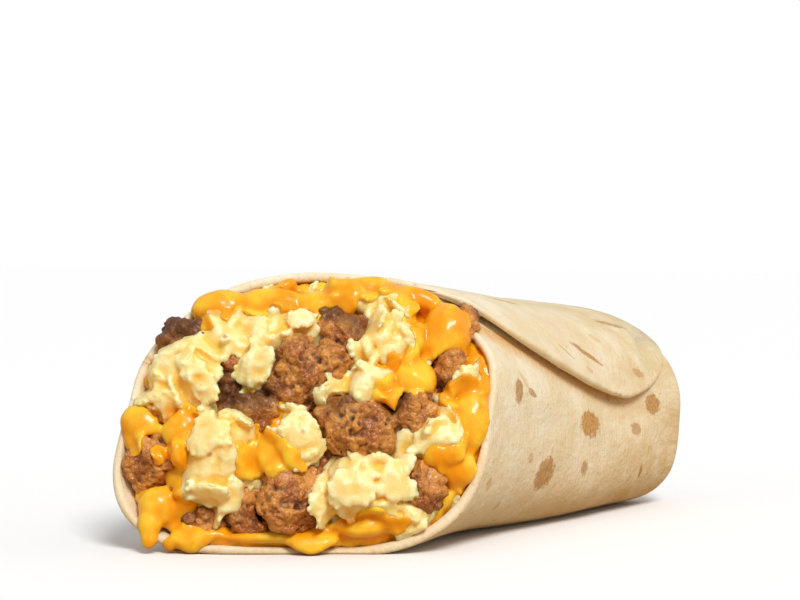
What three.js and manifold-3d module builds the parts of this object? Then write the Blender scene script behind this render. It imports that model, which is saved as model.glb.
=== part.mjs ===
// A breakfast burrito lying on its side: a flour tortilla rolled round scrambled egg, sausage
// crumbles and cheese sauce, tucked in at the far end and open at the near one.
// Millimetres, +Z up. The roll lies along X with its open mouth towards -X. The origin is on the
// surface that the burrito rests on, under the middle of its box.

import * as THREE from 'three';
import { mergeVertices } from 'three/addons/utils/BufferGeometryUtils.js';
import Module from 'manifold-3d';

// The roll
const ROLL_LENGTH = 140;
const MOUTH_HALF_WIDTH = 33.3;
const MOUTH_HALF_HEIGHT = 29.8;
const END_HALF_WIDTH = 30.5;
const END_HALF_HEIGHT = 23.1;
const TOP_ROUNDNESS = 2.26;
const BOTTOM_ROUNDNESS = 3.4;
const ROLL_BOW = -9.2;
const END_ROUNDING = 13.5;
const END_ROUNDNESS = 2.5;
const END_DISH = 4.5;
const END_PLEAT = 0.9;
const REST_FLAT = 0.6;
const REST_SQUEEZE = 0.6;

// The sheet and its mouth
const SHEET = 1.8;
const MOUTH_LEAN = 25.6;
const MOUTH_LEAN_CURVE = 15.7;
const MOUTH_SLANT = 33.3;
const RIM_WAVE = 0.7;
const SHEET_SWELL = 0.35;

// The free flap on top of the roll
const FLAP_SHEET = 1.6;
const FLAP_GAP = 0.5;
const FLAP_LIFT = 0.9;
const FLAP_LIFT_REACH = 7;
const FLAP_SHADOW_REACH = 6;
const FLAP_SHADOW_END = 9;
const FLAP_FADE_FROM = 0.78;
const FLAP_FADE_TO = 0.97;
const FLAP_OVERHANG = 0.3;
const FLAP_PROUD = 0.12;
const FLAP_ROOT_DEPTH = 0.8;
const FLAP_STRIP = 17;
const FLAP_SETTLE = 20;
const FLAP_EDGE = [
  [42.5, 36], [52, 49], [75, 67], [98, 80.5], [108, 80.5], [118, 73], [128, 56], [133.5, 25], [134, -12],
  [131.5, -48], [126, -80]
];
const UNROLL_RADIUS = 29;

// The filling
const CLEARANCE = 0.35;
const CORE_CLEARANCE = 0.65;
const CORE_SETBACK = 3.2;
const CORE_BULGE = 2.4;
const CORE_DOME = 6;
const MOUTH_BULGE = 7;
const BULGE_HALF_WIDTH = 38;
const BULGE_HALF_HEIGHT = 30;
const RIM_FALL = 2.7;
const FLOOR_CLEARANCE = 0.4;
const PIECE_FILL = 1.12;

const SIDES = 32;

const EGG = new THREE.MeshStandardMaterial({ color: 0xf3d86f, roughness: 0.5, metalness: 0 });
const SAUSAGE = new THREE.MeshStandardMaterial({ color: 0x8a5026, roughness: 0.6, metalness: 0 });
const CHEESE = new THREE.MeshStandardMaterial({ color: 0xf6a52c, roughness: 0.25, metalness: 0 });
const FILLING = new THREE.MeshStandardMaterial({ color: 0xd9a348, roughness: 0.5, metalness: 0 });
const TORTILLA = new THREE.MeshStandardMaterial({ color: 0xefdfc2, roughness: 0.75, metalness: 0 });

// Pieces in the mouth, seen from in front of it. Each row gives a place on the mouth's plane
// (right, up), a width and a height, how far the piece stands out of the bulge, and its turn in degrees.
const SAUSAGE_CRUMBLES = [
  [-2, 5, 12, 13, 0.8, 20],
  [10, -6, 15.5, 12.5, 0.6, -15],
  [-3, -19.5, 13.5, 13, 1.0, 30],
  [-31, -12, 10.5, 10.5, 1.6, 10],
  [23, -16, 9.5, 11.5, 0.8, 15],
  [-11, -22.5, 9.5, 10, 0.2, 0],
  [6.5, 15, 10, 9, -0.4, -20],
  [-15, 7.5, 10, 7.5, -1.0, 25],
  [-10.5, -2.5, 9.5, 7, 0.2, -20],
  [21.5, -3, 8, 9, 0.4, 0],
  [4.5, 7.5, 8, 8, 0.4, 0],
  [-25.5, 13.3, 7.5, 7, 1.0, 35],
  [28.5, 7, 7.5, 8, -0.6, 0],
  [31, 18, 7, 7.5, -0.6, 0],
  [-16, 1, 5.5, 9, -0.6, 0],
  [-20, -24, 10, 6, 0.2, 5]
];
const EGG_CURDS = [
  [-17, -12, 16.5, 18.5, 1.2, -25],
  [12, -16.5, 15.5, 13.5, 1.0, 10],
  [-23, 5, 12.5, 16, 1.2, 20],
  [-5.5, 15, 17, 7, 0.4, 12],
  [17, 13, 11, 11, 0.4, 0],
  [-17, 12.5, 9, 9, 1.2, -40],
  [-1.5, -8, 8, 11, 0.8, 0],
  [12, 21, 14, 7, 0.2, -8],
  [26, -8, 10.5, 9, 0.4, 20],
  [11.5, 2, 8, 6.5, 0.8, 0],
  [-28.5, -0.5, 7.5, 10, 0.2, 0],
  [32, 5, 7.5, 7.5, -0.4, 0],
  [1.5, -20.5, 7.5, 7.5, 1.4, 0],
  [18, -22.5, 9.5, 5.5, 0.2, 10],
  [10, 9.5, 7, 7, -0.8, 0],
  [4.5, 0.5, 6, 8, -0.6, 0],
  [-10.5, 7, 4.5, 9, 0.8, 5]
];
// Each run of cheese sauce is a chain of soft drops joined into one.
const CHEESE_RUNS = [
  [[-18.5, 20.6, 11, 6.4, 2, 8], [-8.5, 20.8, 14, 6.4, 1, 0], [1.5, 20.6, 11, 5.6, 0, 0]],
  [[27.5, 14.7, 10, 12.5, 0.6, 0]],
  [[21.5, 4.5, 8.5, 8, 0, 0], [17.5, -0.5, 6.5, 6.5, -0.4, 0]],
  [[33, -2.5, 7.5, 13, -0.2, 0], [29.5, -12.5, 8.5, 9, -0.4, 20]],
  [[-33, -4.5, 9, 8, 1.4, -15]],
  [[-24.5, -6, 8.5, 9.5, 0, 0]],
  [[-6, -11.5, 7.5, 11, -0.4, 0]],
  [[-29.5, -20.5, 8, 8, 1.6, 0], [-30.8, -24.5, 4.8, 6.5, 2.4, 0], [-30.8, -27.3, 3.4, 4.4, 2.4, 0]],
  [[-21, -27.4, 14, 5.6, 1.4, 5], [-9, -28.1, 15, 4.8, 1.4, 0], [1, -28.6, 11, 5.6, 1.6, 0]],
  [[12, -25, 10, 6, 0, 10]],
  [[11, 25.6, 13, 4, 0.4, -4], [21.5, 23.4, 11, 4, 0.2, -20]]
];
const LARGE_PIECE = 12.4;
const SAUSAGE_LUMPS = 0.15;
const EGG_LUMPS = 0.2;
const CHEESE_LUMPS = 0.07;

const wasm = await Module();
wasm.setup();

// Solids

function toSolid(geometry) {
  const bare = geometry.clone();
  bare.deleteAttribute('normal');
  bare.deleteAttribute('uv');
  const merged = mergeVertices(bare, 1e-5);
  const vertProperties = new Float32Array(merged.attributes.position.array);
  const triVerts = new Uint32Array(merged.index.array);
  return new wasm.Manifold(new wasm.Mesh({ numProp: 3, vertProperties, triVerts }));
}

function toGeometry(solid) {
  const mesh = solid.getMesh();
  const geometry = new THREE.BufferGeometry();
  geometry.setAttribute('position', new THREE.BufferAttribute(new Float32Array(mesh.vertProperties), 3));
  geometry.setIndex(new THREE.BufferAttribute(new Uint32Array(mesh.triVerts), 1));
  geometry.computeVertexNormals();
  return geometry;
}

function largestBody(solid) {
  const bodies = solid.decompose();
  bodies.sort((one, other) => other.volume() - one.volume());
  return bodies[0];
}

function seededRandom(seed) {
  let state = seed >>> 0;
  return () => {
    state = (state + 0x6d2b79f5) >>> 0;
    let mixed = Math.imul(state ^ (state >>> 15), state | 1);
    mixed ^= mixed + Math.imul(mixed ^ (mixed >>> 7), mixed | 61);
    return ((mixed ^ (mixed >>> 14)) >>> 0) / 4294967296;
  };
}

// A closed skin through rings of points, shut by one point at each end. The rings run
// anticlockwise when seen from where the skin is going.
function skin(firstPoint, rings, lastPoint) {
  const count = rings[0].length;
  const positions = [];
  const indices = [];
  positions.push(...firstPoint.toArray());
  for (const ring of rings) {
    for (const point of ring) {
      positions.push(...point.toArray());
    }
  }
  positions.push(...lastPoint.toArray());
  const at = (row, column) => 1 + row * count + (column % count);
  const last = 1 + rings.length * count;
  for (let column = 0; column < count; column += 1) {
    indices.push(0, at(0, column + 1), at(0, column));
    indices.push(last, at(rings.length - 1, column), at(rings.length - 1, column + 1));
    for (let row = 0; row < rings.length - 1; row += 1) {
      indices.push(at(row, column), at(row, column + 1), at(row + 1, column));
      indices.push(at(row, column + 1), at(row + 1, column + 1), at(row + 1, column));
    }
  }
  const geometry = new THREE.BufferGeometry();
  geometry.setAttribute('position', new THREE.Float32BufferAttribute(positions, 3));
  geometry.setIndex(indices);
  return geometry;
}

// The roll's surface. The angle is 0 at the top and grows towards the side at -Y.

function sectionRadius(angle) {
  const across = Math.abs(Math.sin(angle));
  const upright = Math.abs(Math.cos(angle));
  const power = Math.cos(angle) > 0 ? TOP_ROUNDNESS : BOTTOM_ROUNDNESS;
  return (across ** power + upright ** power) ** (-1 / power);
}

function taper(x) {
  const u = THREE.MathUtils.clamp(x / ROLL_LENGTH, 0, 1);
  return 0.5 * u * u * (3 - 2 * u) + 0.5 * u;
}

function endShrink(x, depth) {
  const reach = THREE.MathUtils.clamp((x - (ROLL_LENGTH - END_ROUNDING)) / (END_ROUNDING - depth), 0, 1);
  return (1 - reach ** END_ROUNDNESS) ** (1 / END_ROUNDNESS);
}

function swell(x, angle) {
  const fade = THREE.MathUtils.smoothstep(ROLL_LENGTH - x, 0, 2 * END_ROUNDING);
  const wave = Math.sin(3 * angle + x / 15) + 0.7 * Math.sin(5 * angle - x / 21 + 1) + 0.6 * Math.sin(x / 9 + 2 * angle);
  return SHEET_SWELL * fade * wave;
}

// A point of the roll at a depth under its outermost surface, shrunk towards the axis by shrink.
function rollPoint(x, angle, depth, shrink = endShrink(x, depth)) {
  const u = x / ROLL_LENGTH;
  const width = THREE.MathUtils.lerp(MOUTH_HALF_WIDTH, END_HALF_WIDTH, taper(x)) - depth;
  const height = THREE.MathUtils.lerp(MOUTH_HALF_HEIGHT, END_HALF_HEIGHT, taper(x));
  const radius = sectionRadius(angle) * shrink;
  const lift = swell(x, angle);
  const y = -(width + lift) * radius * Math.sin(angle) + ROLL_BOW * u * u;
  const z = height + (height - depth + lift) * radius * Math.cos(angle) - REST_FLAT;
  return new THREE.Vector3(x, y, Math.max(z, REST_SQUEEZE * Math.max(depth, 0)));
}

function rimX(angle) {
  const radius = sectionRadius(angle);
  const tall = 0.5 + 0.5 * radius * Math.cos(angle);
  const front = 0.5 + 0.5 * radius * Math.sin(angle);
  const wave = RIM_WAVE * (Math.sin(3 * angle + 0.6) + 0.6 * Math.sin(7 * angle));
  return MOUTH_LEAN * tall + MOUTH_LEAN_CURVE * (tall * tall - tall) + MOUTH_SLANT * front + wave;
}

// The flap's free edge, as a curve on the unrolled sheet: x, and the length round the roll.

const flapEdge = new THREE.CatmullRomCurve3(
  FLAP_EDGE.map(([x, degrees]) => new THREE.Vector3(x, THREE.MathUtils.degToRad(degrees) * UNROLL_RADIUS, 0))
);
const FLAP_STEPS = 34;
const edgePoints = flapEdge.getSpacedPoints(FLAP_STEPS);
const edgeNormals = edgePoints.map((point, index) => {
  const before = edgePoints[Math.max(index - 1, 0)];
  const after = edgePoints[Math.min(index + 1, FLAP_STEPS)];
  const along = after.clone().sub(before).normalize();
  return new THREE.Vector3(along.y, -along.x, 0);
});

function edgeStrength(index) {
  return 1 - THREE.MathUtils.smoothstep(index / FLAP_STEPS, FLAP_FADE_FROM, FLAP_FADE_TO);
}

// How far a place lies outside the flap's edge (positive) or under the flap (negative), and how
// strongly the edge stands there: it sinks into the roll at its far end.
function fromFlapEdge(x, angle) {
  const wrapped = Math.atan2(Math.sin(angle - 0.3), Math.cos(angle - 0.3)) + 0.3;
  const place = new THREE.Vector3(x, wrapped * UNROLL_RADIUS, 0);
  let nearest = Infinity;
  let nearestIndex = 0;
  edgePoints.forEach((point, index) => {
    const distance = point.distanceTo(place);
    if (distance < nearest) {
      nearest = distance;
      nearestIndex = index;
    }
  });
  const away = place.clone().sub(edgePoints[nearestIndex]).dot(edgeNormals[nearestIndex]);
  const strength = edgeStrength(nearestIndex);
  return { distance: away > 0 ? -nearest : nearest, strength };
}

function outerDip(x, angle) {
  const { distance, strength } = fromFlapEdge(x, angle);
  const ply = (FLAP_SHEET + FLAP_GAP) * strength;
  if (distance > 0) {
    return ply * (1 - THREE.MathUtils.smoothstep(distance, 0, FLAP_SETTLE));
  }
  return ply * (1 - THREE.MathUtils.smoothstep(-distance, FLAP_SHADOW_REACH, FLAP_SHADOW_END));
}

function innerDip(x, angle) {
  const { distance, strength } = fromFlapEdge(x, angle);
  const ply = (FLAP_SHEET + FLAP_GAP) * strength;
  if (distance > 0) {
    return ply * (1 - THREE.MathUtils.smoothstep(distance, 0, FLAP_SETTLE));
  }
  return ply * (1 - THREE.MathUtils.smoothstep(-distance, FLAP_SHADOW_END, FLAP_SHADOW_END + FLAP_SETTLE));
}

// Rings round the roll from the mouth to the tucked end, at a depth given by a function.
const SIDE_ROWS = 10;
const CORE_ROWS = 6;
const END_SHRINKS = [0.97, 0.9, 0.76, 0.5, 0.22];

function rollRings(depthAt, rimShift, rows = SIDE_ROWS) {
  const rings = [];
  const bodyEnd = ROLL_LENGTH - END_ROUNDING;
  const angleAt = (column) => (2 * Math.PI * column) / SIDES;
  for (let row = 0; row <= rows; row += 1) {
    const along = row / rows;
    rings.push(Array.from({ length: SIDES }, (_, column) => {
      const angle = angleAt(column);
      const x = THREE.MathUtils.lerp(rimX(angle) + rimShift, bodyEnd, along);
      return rollPoint(x, angle, depthAt(x, angle));
    }));
  }
  for (const shrink of END_SHRINKS) {
    rings.push(Array.from({ length: SIDES }, (_, column) => endPoint(angleAt(column), shrink, depthAt)));
  }
  return rings;
}

// A point of the tucked end: its face is dished, with pleats that run in to the middle.
function endPoint(angle, shrink, depthAt) {
  const bodyEnd = ROLL_LENGTH - END_ROUNDING;
  const nominal = depthAt(ROLL_LENGTH - 1, angle);
  const flatX = bodyEnd + (END_ROUNDING - nominal) * (1 - shrink ** END_ROUNDNESS) ** (1 / END_ROUNDNESS);
  const depth = depthAt(flatX, angle);
  const x = bodyEnd + (END_ROUNDING - depth) * (1 - shrink ** END_ROUNDNESS) ** (1 / END_ROUNDNESS);
  const dish = END_DISH * THREE.MathUtils.smoothstep(1 - shrink, 0.1, 0.8);
  const pleat = END_PLEAT * Math.sin(5 * angle + 0.8) * Math.sin(Math.PI * shrink);
  const point = rollPoint(x, angle, depth, shrink);
  point.x += pleat - dish;
  return point;
}

function endMiddle(depth) {
  return endPoint(0, 0, () => depth);
}

// The tortilla: a cup of one sheet, its top sunk by one ply where the flap lies on it
function cupSolid(grow) {
  const outer = rollRings((x, angle) => outerDip(x, angle) - grow, -grow);
  const inner = rollRings((x, angle) => SHEET + innerDip(x, angle) + grow, -grow);
  return toSolid(skin(endMiddle(SHEET + grow), [...inner.reverse(), ...outer], endMiddle(-grow)));
}

// The flap: a strip of sheet along its free edge, lifted there, and sunk into the roll at its root
function flapSolid(grow) {
  const acrossSteps = 3;
  const rimStart = -FLAP_OVERHANG - grow;
  const startAngle = edgePoints[0].y / UNROLL_RADIUS;
  const stripPlace = (index, across) => {
    const edge = edgePoints[index];
    const turned = across / UNROLL_RADIUS;
    const alongRim = new THREE.Vector2(
      rimX(startAngle - turned) + rimStart + edge.x - edgePoints[0].x,
      edge.y / UNROLL_RADIUS - turned
    );
    const square = new THREE.Vector2(
      edge.x + edgeNormals[index].x * across,
      (edge.y + edgeNormals[index].y * across) / UNROLL_RADIUS
    );
    return alongRim.lerp(square, THREE.MathUtils.smoothstep(index / FLAP_STEPS, 0, 0.15));
  };
  const layer = (index, under) => Array.from({ length: acrossSteps + 1 }, (_, step) => {
    const across = FLAP_STRIP * (step / acrossSteps) ** 1.3;
    const place = stripPlace(index, across);
    const strength = edgeStrength(index);
    const lift = FLAP_LIFT * strength * Math.max(0, 1 - across / FLAP_LIFT_REACH) ** 2;
    const root = Math.max(THREE.MathUtils.smoothstep(across, 0.85 * FLAP_STRIP, FLAP_STRIP), 1 - strength);
    const top = THREE.MathUtils.lerp(-FLAP_PROUD, FLAP_ROOT_DEPTH, root) - lift;
    const depth = under ? top + FLAP_SHEET * (1 - 0.5 * root) + grow : top - grow;
    return rollPoint(place.x, place.y, depth);
  });
  const sections = edgePoints.map((_, index) => [...layer(index, false), ...layer(index, true).reverse()]);
  return toSolid(strip(sections));
}

// A closed strip through sections whose points run along the top and back along the underside
function strip(sections) {
  const count = sections[0].length;
  const half = count / 2;
  const positions = sections.flat().flatMap((point) => point.toArray());
  const indices = [];
  const at = (row, column) => row * count + (column % count);
  const last = sections.length - 1;
  for (let row = 0; row < last; row += 1) {
    for (let column = 0; column < count; column += 1) {
      indices.push(at(row, column), at(row + 1, column), at(row, column + 1));
      indices.push(at(row, column + 1), at(row + 1, column), at(row + 1, column + 1));
    }
  }
  for (let column = 0; column < half - 1; column += 1) {
    const back = count - 1 - column;
    indices.push(at(0, column), at(0, column + 1), at(0, back));
    indices.push(at(0, column + 1), at(0, back - 1), at(0, back));
    indices.push(at(last, column), at(last, back), at(last, column + 1));
    indices.push(at(last, column + 1), at(last, back), at(last, back - 1));
  }
  const geometry = new THREE.BufferGeometry();
  geometry.setAttribute('position', new THREE.Float32BufferAttribute(positions, 3));
  geometry.setIndex(indices);
  return geometry;
}

// The mouth's plane: its middle, its outward normal, and the directions to the right and up on it
const mouthMiddle = new THREE.Vector3(
  MOUTH_LEAN / 2 - MOUTH_LEAN_CURVE / 4 + MOUTH_SLANT / 2, 0, MOUTH_HALF_HEIGHT - REST_FLAT
);
const mouthNormal = new THREE.Vector3(
  -1, -MOUTH_SLANT / (2 * MOUTH_HALF_WIDTH), MOUTH_LEAN / (2 * MOUTH_HALF_HEIGHT)
).normalize();
const mouthRight = new THREE.Vector3(0, 0, 1).cross(mouthNormal).normalize();
const mouthUp = mouthNormal.clone().cross(mouthRight).normalize();

// The face of the filling bulges in the middle, and falls back above and below as the rim does.
function bulge(right, up) {
  const dome = Math.max(0, 1 - (right / BULGE_HALF_WIDTH) ** 2 - (up / BULGE_HALF_HEIGHT) ** 2);
  return MOUTH_BULGE * dome - RIM_FALL * (up / BULGE_HALF_HEIGHT) ** 2;
}

function onMouth(right, up, out) {
  return mouthMiddle.clone()
    .addScaledVector(mouthRight, right)
    .addScaledVector(mouthUp, up)
    .addScaledVector(mouthNormal, out);
}

// The filling that runs through the roll, behind the pieces that show in its mouth
function fillingSolid(grow) {
  const depthAt = (x, angle) => SHEET + innerDip(x, angle) + CORE_CLEARANCE - grow;
  const sideRings = rollRings(depthAt, CORE_SETBACK - grow, CORE_ROWS);
  const frontMiddle = onMouth(0, 0, CORE_BULGE + grow);
  const frontRings = [0.3, 0.62, 0.86].map((share) => sideRings[0].map((point) => {
    const onDome = frontMiddle.clone().lerp(point, share);
    return onDome.addScaledVector(mouthNormal, CORE_DOME * (share - share * share));
  }));
  const endDepth = SHEET + CORE_CLEARANCE - grow;
  return toSolid(skin(frontMiddle, [...frontRings, ...sideRings], endMiddle(endDepth)));
}

// A lumpy piece: an icosphere pushed in and out by waves in random directions
function lumpyPiece([right, up, width, height, out, turn], lumps, seed, grow) {
  const random = seededRandom(seed);
  const detail = lumps > CHEESE_LUMPS && Math.max(width, height) > LARGE_PIECE ? 2 : 1;
  const ball = new THREE.IcosahedronGeometry(1, detail);
  ball.deleteAttribute('normal');
  ball.deleteAttribute('uv');
  const geometry = mergeVertices(ball, 1e-5);
  const waves = Array.from({ length: 5 }, () => ({
    direction: new THREE.Vector3(random() - 0.5, random() - 0.5, random() - 0.5).normalize(),
    pitch: 2.2 + 3.2 * random(),
    phase: 2 * Math.PI * random()
  }));
  const depth = Math.min(1.05 * Math.min(width, height), 0.5 * (width + height));
  const middle = onMouth(right, up, bulge(right, up) + out - 0.3 * depth);
  const turned = THREE.MathUtils.degToRad(turn);
  const across = mouthRight.clone().multiplyScalar(Math.cos(turned)).addScaledVector(mouthUp, Math.sin(turned));
  const along = mouthUp.clone().multiplyScalar(Math.cos(turned)).addScaledVector(mouthRight, -Math.sin(turned));
  const position = geometry.attributes.position;
  for (let index = 0; index < position.count; index += 1) {
    const direction = new THREE.Vector3().fromBufferAttribute(position, index);
    let push = 0;
    for (const wave of waves) {
      push += Math.cos(wave.direction.dot(direction) * wave.pitch + wave.phase) / waves.length;
    }
    const radius = 1 + 2 * lumps * push;
    const fill = PIECE_FILL * radius;
    const point = middle.clone()
      .addScaledVector(across, direction.x * ((fill * width) / 2 + grow))
      .addScaledVector(along, direction.y * ((fill * height) / 2 + grow))
      .addScaledVector(mouthNormal, direction.z * ((radius * depth) / 2 + grow));
    position.setXYZ(index, point.x, point.y, point.z);
  }
  return toSolid(geometry);
}

const pieces = [];
function addPieces(prefix, rows, lumps, material) {
  rows.forEach((row, index) => {
    const drops = Array.isArray(row[0]) ? row : [row];
    const build = (grow) => drops
      .map((drop, number) => lumpyPiece(drop, lumps, 100 * prefix.length + 17 * index + number, grow))
      .reduce((whole, drop) => whole.add(drop));
    const name = `${prefix}_${String(index + 1).padStart(2, '0')}`;
    pieces.push({ name, material, solid: build(0), cutter: build(CLEARANCE) });
  });
}
addPieces('sausage', SAUSAGE_CRUMBLES, SAUSAGE_LUMPS, SAUSAGE);
addPieces('egg', EGG_CURDS, EGG_LUMPS, EGG);
addPieces('cheese', CHEESE_RUNS, CHEESE_LUMPS, CHEESE);

const tortilla = cupSolid(0).add(flapSolid(0));
const tortillaCutter = cupSolid(CLEARANCE).add(flapSolid(CLEARANCE));
const floorSlab = new THREE.BoxGeometry(4 * ROLL_LENGTH, 4 * ROLL_LENGTH, 40);
floorSlab.translate(0, 0, FLOOR_CLEARANCE - 20);
const belowFloor = toSolid(floorSlab);

// Pieces that lie in front keep their whole shape, and those behind are cut clear of them.
const solids = [['tortilla', TORTILLA, tortilla], ['filling', FILLING, fillingSolid(0)]];
const behind = tortillaCutter.add(belowFloor).add(fillingSolid(CLEARANCE));
let inFront = null;
for (const piece of pieces) {
  const inTheWay = inFront ? behind.add(inFront) : behind;
  solids.push([piece.name, piece.material, largestBody(piece.solid.subtract(inTheWay))]);
  inFront = inFront ? inFront.add(piece.cutter) : piece.cutter;
}

const group = new THREE.Group();
for (const [name, material, solid] of solids) {
  const mesh = new THREE.Mesh(toGeometry(solid), material);
  mesh.name = name;
  group.add(mesh);
}

const box = new THREE.Box3().setFromObject(group);
const middle = box.getCenter(new THREE.Vector3());
group.position.set(-middle.x, -middle.y, -box.min.z);
group.updateMatrixWorld(true);

export default group;
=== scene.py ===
"""A breakfast burrito: its tortilla, egg, sausage and cheese sauce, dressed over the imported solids."""

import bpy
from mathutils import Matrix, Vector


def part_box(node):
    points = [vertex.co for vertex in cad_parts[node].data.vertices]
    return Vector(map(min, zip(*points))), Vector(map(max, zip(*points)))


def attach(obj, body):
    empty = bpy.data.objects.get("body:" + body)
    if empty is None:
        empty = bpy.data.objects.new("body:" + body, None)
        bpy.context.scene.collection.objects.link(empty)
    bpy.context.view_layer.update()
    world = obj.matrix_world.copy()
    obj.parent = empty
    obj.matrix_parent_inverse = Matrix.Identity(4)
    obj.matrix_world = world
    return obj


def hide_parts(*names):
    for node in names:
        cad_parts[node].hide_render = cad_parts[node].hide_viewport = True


bl_info = {
    "name": "Breakfast burrito",
    "version": (1, 0, 0),
    "blender": (4, 5, 0),
    "location": "View3D > Sidebar > Burrito",
    "description": "Dresses the burrito's solids as a rolled tortilla with egg, sausage and cheese sauce",
    "category": "Object",
}

import math
import random

import bmesh
import bpy
import numpy as np
from bpy.props import FloatProperty, FloatVectorProperty, PointerProperty
from mathutils import Matrix, Vector
from mathutils.bvhtree import BVHTree

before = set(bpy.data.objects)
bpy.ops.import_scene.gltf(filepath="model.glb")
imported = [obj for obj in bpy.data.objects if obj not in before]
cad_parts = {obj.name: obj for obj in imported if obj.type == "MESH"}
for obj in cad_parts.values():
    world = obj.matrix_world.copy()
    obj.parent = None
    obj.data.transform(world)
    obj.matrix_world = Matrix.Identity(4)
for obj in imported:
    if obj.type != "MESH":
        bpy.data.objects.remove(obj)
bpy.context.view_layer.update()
MM = 0.001

# The roll, in millimetres, as its solids have it
ROLL_LENGTH = 140
MOUTH_HALF_WIDTH = 33.3
MOUTH_HALF_HEIGHT = 29.8
END_HALF_WIDTH = 30.5
END_HALF_HEIGHT = 23.1
TOP_ROUNDNESS = 2.26
BOTTOM_ROUNDNESS = 3.4
ROLL_BOW = -9.2
END_ROUNDING = 13.5
END_ROUNDNESS = 2.5
END_DISH = 4.5
END_PLEAT = 0.9
SIDE_FOLD = 1.3
LAST_FOLD = 1.5
REST_FLAT = 0.6
REST_SQUEEZE = 0.6
MOUTH_LEAN = 25.6
MOUTH_LEAN_CURVE = 15.7
MOUTH_SLANT = 33.3
RIM_WAVE = 0.7
SHEET_SWELL = 0.35
BODY_END = ROLL_LENGTH - END_ROUNDING
UNROLL_RADIUS = 29

# The breadth of a fold's edge, and of the dent beside it, as shares of the end's radius
FOLD_EDGE = 0.045
FOLD_DENT = 0.07

# The flap's free edge on the unrolled sheet: millimetres along the roll, degrees down from its top
FLAP_EDGE = (
    (42.5, 36), (52, 49), (75, 67), (98, 80.5), (108, 80.5), (118, 73),
    (128, 56), (133.5, 25), (134, -12), (131.5, -48), (126, -80),
)
FLAP_SHEET = 1.6
FLAP_GAP = 0.5
FLAP_LIFT = 0.9
FLAP_LIFT_REACH = 7
FLAP_SHADOW_REACH = 6
FLAP_SHADOW_END = 11.5
FLAP_STRIP = 16
FLAP_SETTLE = 13
FLAP_FADE = (0.78, 0.97)
FLAP_CORNER = (0.36, 0.56)
FLAP_CORNER_DROP = 0.86

# Pieces that stand out of the mouth more than their solids do: larger by, and out by millimetres
PROUD_PIECES = {"sausage_12": (1.25, 1.6)}

# The mouth's plane: its middle in the roll's millimetres, and its directions
MOUTH_MIDDLE = Vector((
    MOUTH_LEAN / 2 - MOUTH_LEAN_CURVE / 4 + MOUTH_SLANT / 2, 0, MOUTH_HALF_HEIGHT - REST_FLAT
))
MOUTH_NORMAL = Vector((
    -1, -MOUTH_SLANT / (2 * MOUTH_HALF_WIDTH), MOUTH_LEAN / (2 * MOUTH_HALF_HEIGHT)
)).normalized()
MOUTH_RIGHT = Vector((0, 0, 1)).cross(MOUTH_NORMAL).normalized()
MOUTH_UP = MOUTH_NORMAL.cross(MOUTH_RIGHT).normalized()

# The sheet's map has this many units for a millimetre of the unrolled tortilla
SHEET_UNIT = 0.01

# Toasted spots that show on the near side: along the roll, round it (millimetres from the top),
# half length, half width, turn in degrees and how dark
TOASTED_SPOTS = (
    (87.5, 48.6, 3.9, 2.7, 0, 1.0), (67.6, 59.2, 3.6, 2.9, -20, 0.9), (117.4, 43.9, 2.3, 2.6, 0, 0.9),
    (54.0, 40.7, 1.5, 2.4, 20, 0.9), (60.0, 41.0, 1.5, 0.8, 20, 0.8), (57.5, 38.2, 2.2, 0.7, 60, 0.4),
    (109.0, 50.6, 1.9, 1.4, 0, 0.7), (89.7, 31.0, 4.6, 0.6, 27, 0.9), (87.6, 29.6, 2.0, 0.6, 35, 0.8),
    (116.9, 19.2, 5.0, 0.9, 8, 0.7), (75.9, 15.2, 4.4, 0.5, 8, 0.7), (111.0, 35.4, 2.0, 1.0, 10, 0.6),
    (112.8, 61.3, 0.6, 1.7, -15, 0.9), (85.2, 58.7, 1.2, 1.4, -25, 0.7), (59.4, 55.2, 1.0, 1.0, 0, 0.5),
    (41.7, 59.2, 0.9, 1.1, 0, 0.5), (51.2, 64.8, 0.8, 0.9, 0, 0.5), (131.5, 51.6, 1.8, 1.4, 0, 0.8),
    (98.6, 26.3, 1.8, 0.9, 25, 0.35), (80.4, 31.0, 2.4, 0.25, 38, 0.6), (99.5, 42.0, 0.7, 0.9, 20, 0.5),
    (87.8, 35.2, 1.2, 0.7, 20, 0.45),
)

# The spots are drawn this much larger, because their ragged edges eat into them, and at most this dark
SPOT_SPREAD = 1.15
SPOT_DEPTH = 0.92

PEPPER_COLOUR = (0.012, 0.008, 0.006)

# The scraps of food: lengths in millimetres, pairs as smallest and largest, angles in degrees
EGG_INSET = 0.6
EGG_SHEET_SPACING = 5.0
EGG_SHEET_SIZES = (2.2, 4.6)
EGG_SHEET_HALF_THICKNESS = (0.7, 1.2)
EGG_SHRED_SPACING = 6.0
EGG_SHRED_SIZES = (0.5, 1.1)
EGG_CURD_SIZES = (1.1, 2.3)
EGG_CURD_OUT = (0.4, 2.0)
SAUSAGE_INSET = 0.35
SAUSAGE_GRAIN_SPACING = 2.1
SAUSAGE_GRAIN_SIZES = (0.5, 1.7)
SAUSAGE_CRUMBS = 4
SAUSAGE_CRUMB_SIZES = (0.7, 1.5)
SAUSAGE_CRUMB_SPREAD = 1.5
SAUSAGE_CRUMB_OUT = 1.2
SAUCE_DROP_SIZES = (1.5, 2.8)
SAUCE_DROP_OUT = (0.0, 1.5)
SAUCE_BEAD_ANGLES = range(-80, 215, 3)
SAUCE_BEAD_SIZES = (1.0, 1.7)
SAUCE_BEAD_BEHIND_LIP = (1.4, 3.0)
SAUCE_FILM_SPACING = 1.1
SAUCE_FILM_SIZES = (1.2, 2.0)
SAUCE_FILM_HALF_THICKNESS = 0.5
SAUCE_LIP_DRIPS = (-22.5, 1.5)
SAUCE_LIP_DRIP_WIDTH = 3.4

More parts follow.
